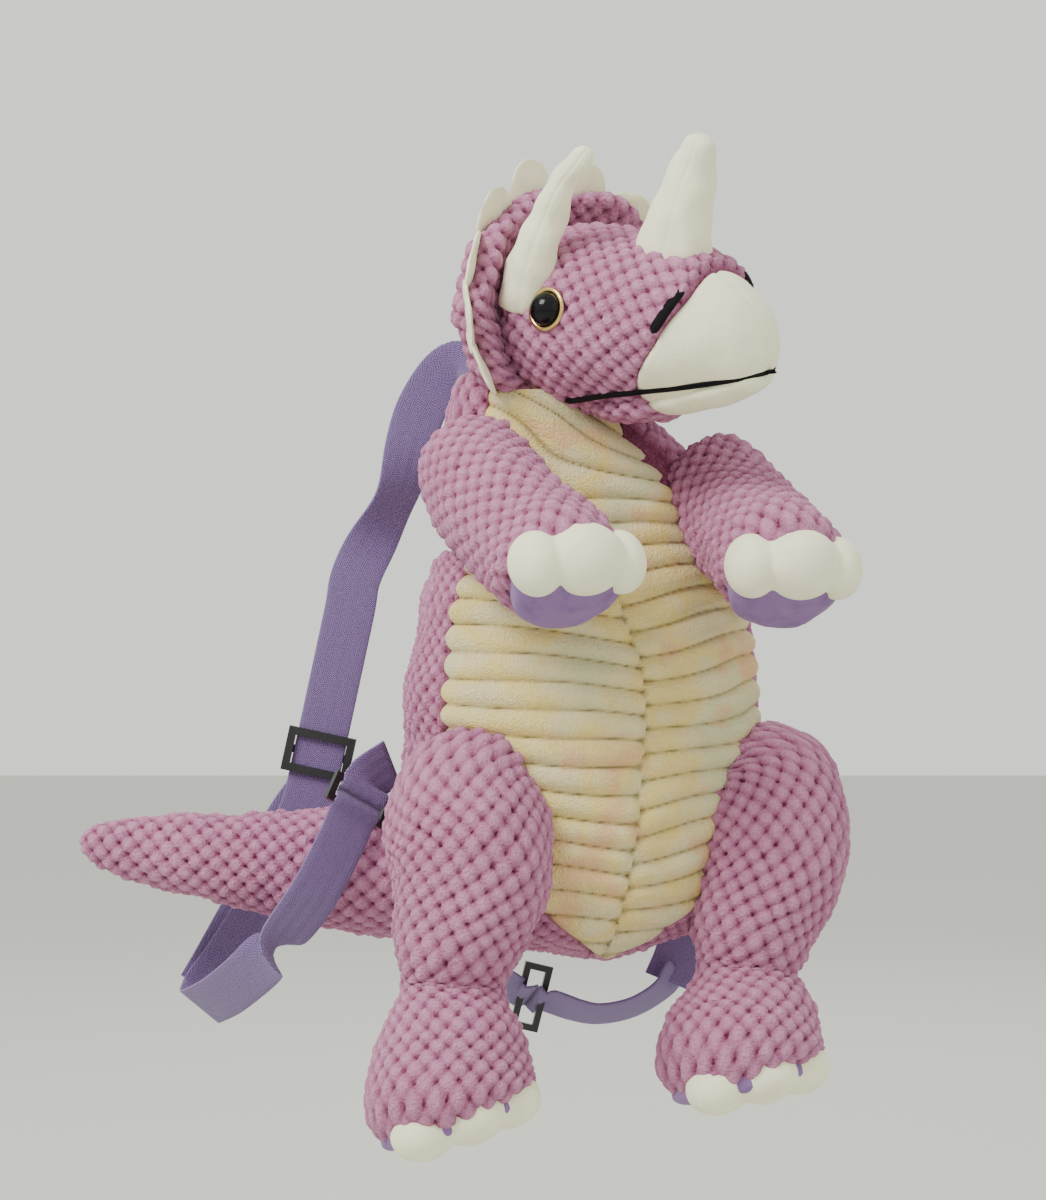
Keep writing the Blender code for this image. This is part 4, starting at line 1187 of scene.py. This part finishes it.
    def build_eyes(self) -> None:
        """Makes each safety eye: a glossy dome standing through a gold washer."""
        for side, name in ((1.0, "left"), (-1.0, "right")):
            outward = unit(np.array([side * 0.94, 0.0, 0.34]))
            seat = np.array([side * 0.0450, 0.004, 0.0150])
            face = HEAD.turned(tuple(outward))
            turn = Vector((0.0, 0.0, 1.0)).rotation_difference(Vector(face)).to_matrix().to_4x4()
            spot = Matrix.Translation(Vector(HEAD.world(seat))) @ turn
            bpy.ops.object.select_all(action="DESELECT")
            bpy.ops.mesh.primitive_uv_sphere_add(segments=48, ring_count=32, radius=0.0079)
            dome = bpy.context.active_object
            dome.name = "eye_dome_" + name
            bpy.ops.object.mode_set(mode="EDIT")
            bpy.ops.mesh.select_all(action="SELECT")
            bpy.ops.mesh.bisect(plane_co=(0.0, 0.0, 0.0005), plane_no=(0.0, 0.0, 1.0),
                                use_fill=True, clear_inner=True)
            bpy.ops.object.mode_set(mode="OBJECT")
            dome.data.transform(spot @ Matrix.Diagonal((1.0, 1.0, 0.90, 1.0)))
            dome.data.shade_smooth()
            dome.data.set_sharp_from_angle(angle=math.radians(50.0))
            dress(dome, self.finishes.eye, Slot.PLASTIC, "head", "eye_" + name)
            bpy.ops.object.select_all(action="DESELECT")
            bpy.ops.mesh.primitive_torus_add(major_radius=0.0090, minor_radius=0.0012,
                                             major_segments=64, minor_segments=16)
            ring = bpy.context.active_object
            ring.name = "eye_ring_" + name
            ring.data.transform(spot @ Matrix.Diagonal((1.0, 1.0, 0.75, 1.0)))
            ring.data.shade_smooth()
            dress(ring, self.finishes.gold, Slot.GOLD, "head", "eye_washer_" + name)

    def build(self) -> None:
        """Makes the head's pieces."""
        self.build_cover()
        self.build_beak()
        self.build_lip()
        self.build_mouth()
        self.build_nostrils()
        self.build_frill()
        self.build_horns()
        self.build_eyes()


def tube_piece(name: str, points: Array, along: Array) -> bpy.types.Object:
    """Makes a closed tube of rings, with its run in millimetres as the UV map's second part.

    Args:
        name: the piece's name.
        points: rings by points by 3, in world coordinates.
        along: the distance of each ring along the tube.

    Returns:
        The object.
    """
    rings, count = points.shape[:2]
    faces = grid_faces(rings, count, 0)
    first = list(range(count))
    last = list(range((rings - 1) * count, rings * count))
    faces.append(first[::-1])
    faces.append(last)
    verts = points.reshape(-1, 3)
    if signed_volume(verts, [face for face in faces if len(face) == 4]) < 0.0:
        faces = [face[::-1] for face in faces]
    across = np.tile(np.linspace(0.0, 1.0, count, endpoint=False), rings)
    uv = np.column_stack([across, np.repeat(along, count)])
    return mesh_object(name, verts, faces, {}, uv)


# ---- tail ----------------------------------------------------------------------------------------
@dataclass
class Tail:
    """The tapering tail."""

    finishes: Finishes
    stations: tuple = (
        (-0.050, -0.046, -0.334, 0.024), (-0.070, -0.047, -0.334, 0.0305),
        (-0.105, -0.048, -0.332, 0.0275), (-0.145, -0.046, -0.329, 0.0225),
        (-0.185, -0.044, -0.325, 0.0165), (-0.212, -0.042, -0.321, 0.0110),
        (-0.229, -0.041, -0.319, 0.0068),
    )

    def build(self) -> None:
        """Makes the tail."""
        path = np.array([(x, y, z, r - 0.0012, r - 0.0012) for x, y, z, r in self.stations])
        skin = Loft(path, (0.0, -1.0, 0.2), 0.012, 0.008).skin(STEP)
        tail = puffed("tail_cover", skin, WORLD, 13)
        dress(tail, self.finishes.mauve, Slot.MAUVE, None, "tail_skin", "tail_filling")
        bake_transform(tail)


# ---- straps ----------------------------------------------------------------------------------------
@dataclass
class Web:
    """A length of flat webbing along a route."""

    name: str
    node: str | None
    route: tuple
    facing: tuple
    width: float = 0.025
    thick: float = 0.0016
    twists: tuple = ((0.0, 0.0), (1.0, 0.0))
    # The width direction at a fold, and the shares of the route where it takes over.
    fold: tuple | None = None
    finishes: Finishes | None = field(default=None, repr=False)

    def build(self) -> None:
        """Makes the ribbon with rounded selvedges and its weave's UV map."""
        dense = smooth_through(np.array(self.route), np.linspace(0.0, 1.0, 1200))
        run = running_length(dense)
        marks = np.linspace(0.0, run[-1], max(int(run[-1] / 0.0025), 6))
        path = np.stack([np.interp(marks, run, column) for column in dense.T], axis=1)
        way = unit(np.gradient(path, axis=0))
        across = unit(np.cross(way, np.array(self.facing, float)))
        if self.fold:
            hint, low, high = self.fold
            held = unit(np.array(hint) - way * (way @ np.array(hint))[:, None])
            share = soft_step(marks / run[-1], low, high)[:, None]
            across = unit(across * (1.0 - share) + held * share)
        face = np.cross(across, way)
        table = np.array(self.twists)
        turn = np.radians(smooth_between(marks / run[-1], table))[:, None]
        across, face = (across * np.cos(turn) + face * np.sin(turn),
                        face * np.cos(turn) - across * np.sin(turn))
        outline = web_outline(self.width, self.thick)
        points = (path[:, None, :] + across[:, None, :] * outline[None, :, 0:1]
                  + face[:, None, :] * outline[None, :, 1:2])
        piece = tube_piece(self.name, points, marks * 1000.0)
        layer = piece.data.uv_layers[0]
        corner = np.empty(len(piece.data.loops), np.int32)
        piece.data.loops.foreach_get("vertex_index", corner)
        place = np.column_stack([np.tile(outline[:, 0] * 1000.0, len(marks)),
                                 np.repeat(marks * 1000.0, len(outline))])
        layer.data.foreach_set("uv", place[corner].astype(np.float32).ravel())
        dress(piece, self.finishes.webbing, Slot.WEBBING, "torso", *filter(None, [self.node]))


def smooth_between(shares: Array, table: Array) -> Array:
    """Returns values of a table of share and value, eased between its rows."""
    values = np.zeros_like(shares)
    values += table[0, 1]
    for low, high in zip(table, table[1:]):
        values += soft_step(shares, low[0], high[0]) * (high[1] - low[1])
    return values


def web_outline(width: float, thick: float) -> Array:
    """Returns the webbing's cross-section, flat with round selvedges."""
    half, round_part = width / 2.0, thick / 2.0
    flat = np.linspace(-half + round_part, half - round_part, 9)
    bend = np.linspace(-math.pi / 2.0, math.pi / 2.0, 5)[1:-1]
    top = [(x, round_part) for x in flat]
    right = [(half - round_part + round_part * math.cos(a), -round_part * math.sin(a)) for a in bend]
    bottom = [(x, -round_part) for x in flat[::-1]]
    left = [(-half + round_part - round_part * math.cos(a), round_part * math.sin(a)) for a in bend]
    return np.array(top + right + bottom + left)


@dataclass
class Straps:
    """The two shoulder straps, their fittings and the hanging loop."""

    finishes: Finishes
    loop_length: float = 0.150
    loop_half_width: float = 0.007
    right_facing: tuple = (-0.3, 0.9, 0.3)
    left_facing: tuple = (0.0, 0.5, 0.87)
    fold_way: tuple = (0.75, 0.15, -0.65)

    def threaded(self, route: tuple, facing: tuple, body: tuple) -> tuple[tuple, tuple]:
        """Threads a route through its ring buckle and starts the tab on the other side.

        Args:
            route: the webbing's route up to the ring.
            facing: the direction that its rear face has.
            body: where the tab is sewn into the body.

        Returns:
            The route with its turn over the ring's near bar, and the tab's route.
        """
        end = np.array(route[-1])
        onward = unit(end - np.array(route[-2]))
        front = -unit(np.array(facing) - onward * float(onward @ np.array(facing)))
        ring = end + onward * 0.0082
        over = front * 0.0028
        web = [*route, ring - onward * 0.0054 + over, ring - onward * 0.0004]
        tab = [ring + onward * 0.0004, ring + onward * 0.0054 + over, ring + onward * 0.0110, body]
        return tuple(map(tuple, web)), tuple(map(tuple, tab))

    def routes(self) -> list[Web]:
        """Returns every length of webbing."""
        right = ((-0.024, -0.033, -0.130), (-0.028, -0.018, -0.112), (-0.047, -0.004, -0.087),
                 (-0.066, -0.003, -0.108), (-0.078, -0.003, -0.150), (-0.0973, -0.003, -0.188),
                 (-0.1025, -0.003, -0.212), (-0.1194, -0.003, -0.290), (-0.1245, -0.003, -0.308),
                 (-0.140, -0.003, -0.345), (-0.160, -0.006, -0.378), (-0.171, -0.011, -0.393),
                 (-0.1740, -0.018, -0.4000))
        right_second = ((-0.1215, 0.0010, -0.298), (-0.133, 0.0025, -0.315),
                        (-0.148, 0.0020, -0.347), (-0.165, -0.003, -0.378),
                        (-0.1740, -0.010, -0.394))
        right_return = ((-0.1720, -0.014, -0.3965), (-0.1740, -0.021, -0.4010),
                        (-0.1700, -0.034, -0.3990), (-0.157, -0.058, -0.3900),
                        (-0.138, -0.082, -0.3720), (-0.116, -0.094, -0.344),
                        (-0.102, -0.090, -0.318), (-0.096, -0.085, -0.304))
        left = ((0.032, -0.015, -0.130), (0.043, -0.004, -0.136), (0.0554, 0.009, -0.165),
                (0.0610, 0.009, -0.205), (0.0680, 0.009, -0.255), (0.0736, 0.009, -0.295),
                (0.0700, 0.005, -0.338), (0.0630, 0.000, -0.374), (0.056, -0.002, -0.392))
        left_return = ((0.060, 0.001, -0.386), (0.052, -0.002, -0.396), (0.038, -0.005, -0.404),
                       (0.022, -0.007, -0.407), (0.010, -0.008, -0.405), (-0.004, -0.010, -0.400))
        right_return, tab_right = self.threaded(right_return, self.right_facing, (-0.078, -0.072, -0.280))
        left_return, tab_left = self.threaded(left_return, self.left_facing, (-0.036, -0.020, -0.384))
        wall = (0.0, 1.0, 0.0)
        return [
            Web("strap_right_web", "strap_right", right, wall,
                twists=((0.0, 0.0), (0.24, 0.0), (0.34, 40.0), (0.43, 0.0), (1.0, 0.0)),
                fold=(self.fold_way, 0.80, 0.90), finishes=self.finishes),
            Web("strap_right_return_web", "strap_right_return", right_return, self.right_facing,
                fold=(self.fold_way, 0.70, 0.35), finishes=self.finishes),
            Web("strap_right_second_layer", None, right_second, wall,
                fold=(self.fold_way, 0.60, 0.80), finishes=self.finishes),
            Web("strap_left_web", "strap_left", left, wall, finishes=self.finishes),
            Web("strap_left_return_web", "strap_left_return", left_return, self.left_facing,
                finishes=self.finishes),
            Web("tab_right_web", None, tab_right, self.right_facing, finishes=self.finishes),
            Web("tab_left_web", None, tab_left, self.left_facing, finishes=self.finishes),
        ]

    def build_loop(self) -> None:
        """Makes the hanging loop's narrow tape."""
        lean = unit(np.array([-0.003, -0.008, -self.loop_length]))
        back = np.array([0.0, 1.0, 0.0])
        across = -np.cross(lean, back)
        half = self.loop_half_width
        outline = [(-half, self.loop_length - 0.010 * step) for step in range(14)]
        for step in range(13):
            angle = math.pi * step / 12
            outline.append((-half * math.cos(angle), half * (1.0 - math.sin(angle))))
        outline += [(half, self.loop_length - 0.010 * (13 - step)) for step in range(14)]
        path = np.array([across * x + lean * drop - back * 0.004 for x, drop in outline])
        run = running_length(path)
        way = unit(np.gradient(path, axis=0))
        side = unit(np.cross(way, back))
        shape = web_outline(0.010, 0.0016)
        points = (path[:, None, :] + back[None, None, :] * shape[None, :, 0:1]
                  + side[:, None, :] * shape[None, :, 1:2])
        piece = tube_piece("hanging_loop_tape", points, run * 1000.0)
        dress(piece, self.finishes.webbing, Slot.WEBBING, "torso", "hang_loop")

    def finish_fittings(self) -> None:
        """Gives the adjusters, buckles, zip and pouch their finishes."""
        looks = {"strap_slider_right": self.finishes.plastic,
                 "strap_slider_left": self.finishes.plastic,
                 "loop_buckle_right": self.finishes.plastic,
                 "loop_buckle_left": self.finishes.plastic,
                 "zipper_slider": self.finishes.zip, "zipper_pull": self.finishes.zip,
                 "zipper_tape_left": self.finishes.lavender,
                 "zipper_tape_right": self.finishes.lavender,
                 "pouch_lining": self.finishes.lavender}
        for name, look in looks.items():
            node = bpy.data.objects[name]
            for slot in node.material_slots:
                slot.material = look

    def build(self) -> None:
        """Makes the webbing and dresses the fittings."""
        for web in self.routes():
            web.build()
        self.build_loop()
        self.finish_fittings()


# ---- studio ----------------------------------------------------------------------------------------
@dataclass
class Studio:
    """The camera, the pale floor and the soft lights."""

    distance: float = 1.5
    middle_depth: float = -0.08
    lens: float = 95.7
    centre: tuple = (-0.016, -0.203)
    floor: float = -0.62
    floor_side: float = 12.0
    floor_colour: tuple = (0.62, 0.62, 0.57, 1.0)
    air_colour: tuple = (0.80, 0.80, 0.77, 1.0)
    air_strength: float = 1.40
    aim: tuple = (0.0, -0.08, -0.2)

    def build(self) -> None:
        """Makes the studio."""
        data = bpy.data.cameras.new("camera")
        data.lens = self.lens
        data.sensor_width = 36.0
        camera = bpy.data.objects.new("camera", data)
        camera.location = (self.centre[0], self.middle_depth - self.distance, self.centre[1])
        camera.rotation_euler = (math.pi / 2.0, 0.0, 0.0)
        bpy.context.collection.objects.link(camera)
        bpy.context.scene.camera = camera
        bpy.ops.object.select_all(action="DESELECT")
        bpy.ops.mesh.primitive_plane_add(size=self.floor_side, location=(0.0, 0.0, self.floor))
        floor = bpy.context.active_object
        floor.name = "studio_floor"
        paint = Paint("studio_floor")
        paint.constant(Base_Color=self.floor_colour, Roughness=0.9)
        floor.data.materials.append(paint.material)
        world = bpy.data.worlds.new("studio_world")
        world.use_nodes = True
        background = world.node_tree.nodes["Background"]
        background.inputs["Color"].default_value = self.air_colour
        background.inputs["Strength"].default_value = self.air_strength
        bpy.context.scene.world = world
        self.lamp("key", (-1.0, -1.0, 1.1), 0.8, 36.0)
        self.lamp("fill", (1.2, -0.9, 0.2), 1.2, 2.0)
        self.lamp("rear", (0.3, 1.5, 0.9), 1.4, 10.0)

    def lamp(self, name: str, place: tuple, size: float, power: float) -> None:
        """Adds a square soft light that faces the toy.

        Args:
            name: the light's name.
            place: where it stands, in metres.
            size: the length of its sides, in metres.
            power: its power, in watts.
        """
        data = bpy.data.lights.new(name, "AREA")
        data.size = size
        data.energy = power
        lamp = bpy.data.objects.new(name, data)
        lamp.location = place
        aim = Vector(self.aim) - Vector(place)
        lamp.rotation_euler = aim.to_track_quat("-Z", "Y").to_euler()
        bpy.context.collection.objects.link(lamp)


def limbs(finishes: Finishes) -> list[Limb]:
    """Returns the arms and legs, in the torso's frame."""
    hand = ((0.0010, 0.0150, 0.001, 0.0185, 0.0160, 0.0165),
            (-0.0200, 0.0100, -0.001, 0.0122, 0.0140, 0.0150),
            (0.0210, 0.0100, -0.001, 0.0115, 0.0135, 0.0150))
    foot = ((0.000, 0.0215, -0.001, 0.0160, 0.0145, 0.0125),
            (-0.0210, 0.0145, -0.001, 0.0150, 0.0145, 0.0125),
            (0.0210, 0.0145, -0.001, 0.0150, 0.0145, 0.0125))
    up, forward = (0.0, -0.3, 1.0), (0.0, -1.0, 0.0)
    return [
        Limb("arm_right_sleeve", "arm_right", (
            (-0.050, -0.004, 0.106, 0.022), (-0.060, -0.018, 0.096, 0.0265),
            (-0.060, -0.045, 0.079, 0.0280), (-0.055, -0.073, 0.064, 0.0275),
            (-0.051, -0.094, 0.054, 0.0290), (-0.050, -0.104, 0.046, 0.0280)),
            "hand_toes_right", "palm_right", up, hand, 0.014, (0.0, 0.20), 61, finishes=finishes),
        Limb("arm_left_sleeve", "arm_left", (
            (0.050, -0.004, 0.096, 0.024), (0.058, -0.018, 0.088, 0.029),
            (0.061, -0.046, 0.073, 0.028), (0.059, -0.074, 0.062, 0.0275),
            (0.057, -0.094, 0.054, 0.0290), (0.056, -0.104, 0.045, 0.0280)),
            "hand_toes_left", "palm_left", up, hand, 0.014, (0.0, 0.20), 63, finishes=finishes),
        Limb("leg_right_sleeve", "leg_right", (
            (-0.062, -0.016, -0.046, 0.026), (-0.070, -0.032, -0.056, 0.036),
            (-0.074, -0.047, -0.084, 0.037), (-0.082, -0.052, -0.118, 0.029),
            (-0.084, -0.052, -0.138, 0.0225), (-0.088, -0.058, -0.160, 0.033),
            (-0.091, -0.064, -0.182, 0.0375), (-0.089, -0.066, -0.194, 0.0365)),
            "foot_toes_right", "sole_right", forward, foot, 0.007, (-0.12, 0.0), 65, finishes=finishes),
        Limb("leg_left_sleeve", "leg_left", (
            (0.066, -0.016, -0.046, 0.026), (0.078, -0.032, -0.056, 0.036),
            (0.076, -0.047, -0.084, 0.0355), (0.064, -0.052, -0.118, 0.028),
            (0.060, -0.052, -0.137, 0.0225), (0.057, -0.058, -0.156, 0.033),
            (0.053, -0.064, -0.174, 0.0375), (0.054, -0.066, -0.185, 0.0365)),
            "foot_toes_left", "sole_left", forward, foot, 0.007, (-0.08, 0.0), 67, finishes=finishes),
    ]


def main() -> None:
    """Builds the toy in order."""
    logging.basicConfig(level=logging.INFO, format="%(name)s: %(message)s")
    Studio().build()
    finishes = Finishes()
    Torso(finishes).build()
    Head(finishes).build()
    for limb in limbs(finishes):
        limb.build()
    Tail(finishes).build()
    Straps(finishes).build()


if __name__ == "__main__":
    main()
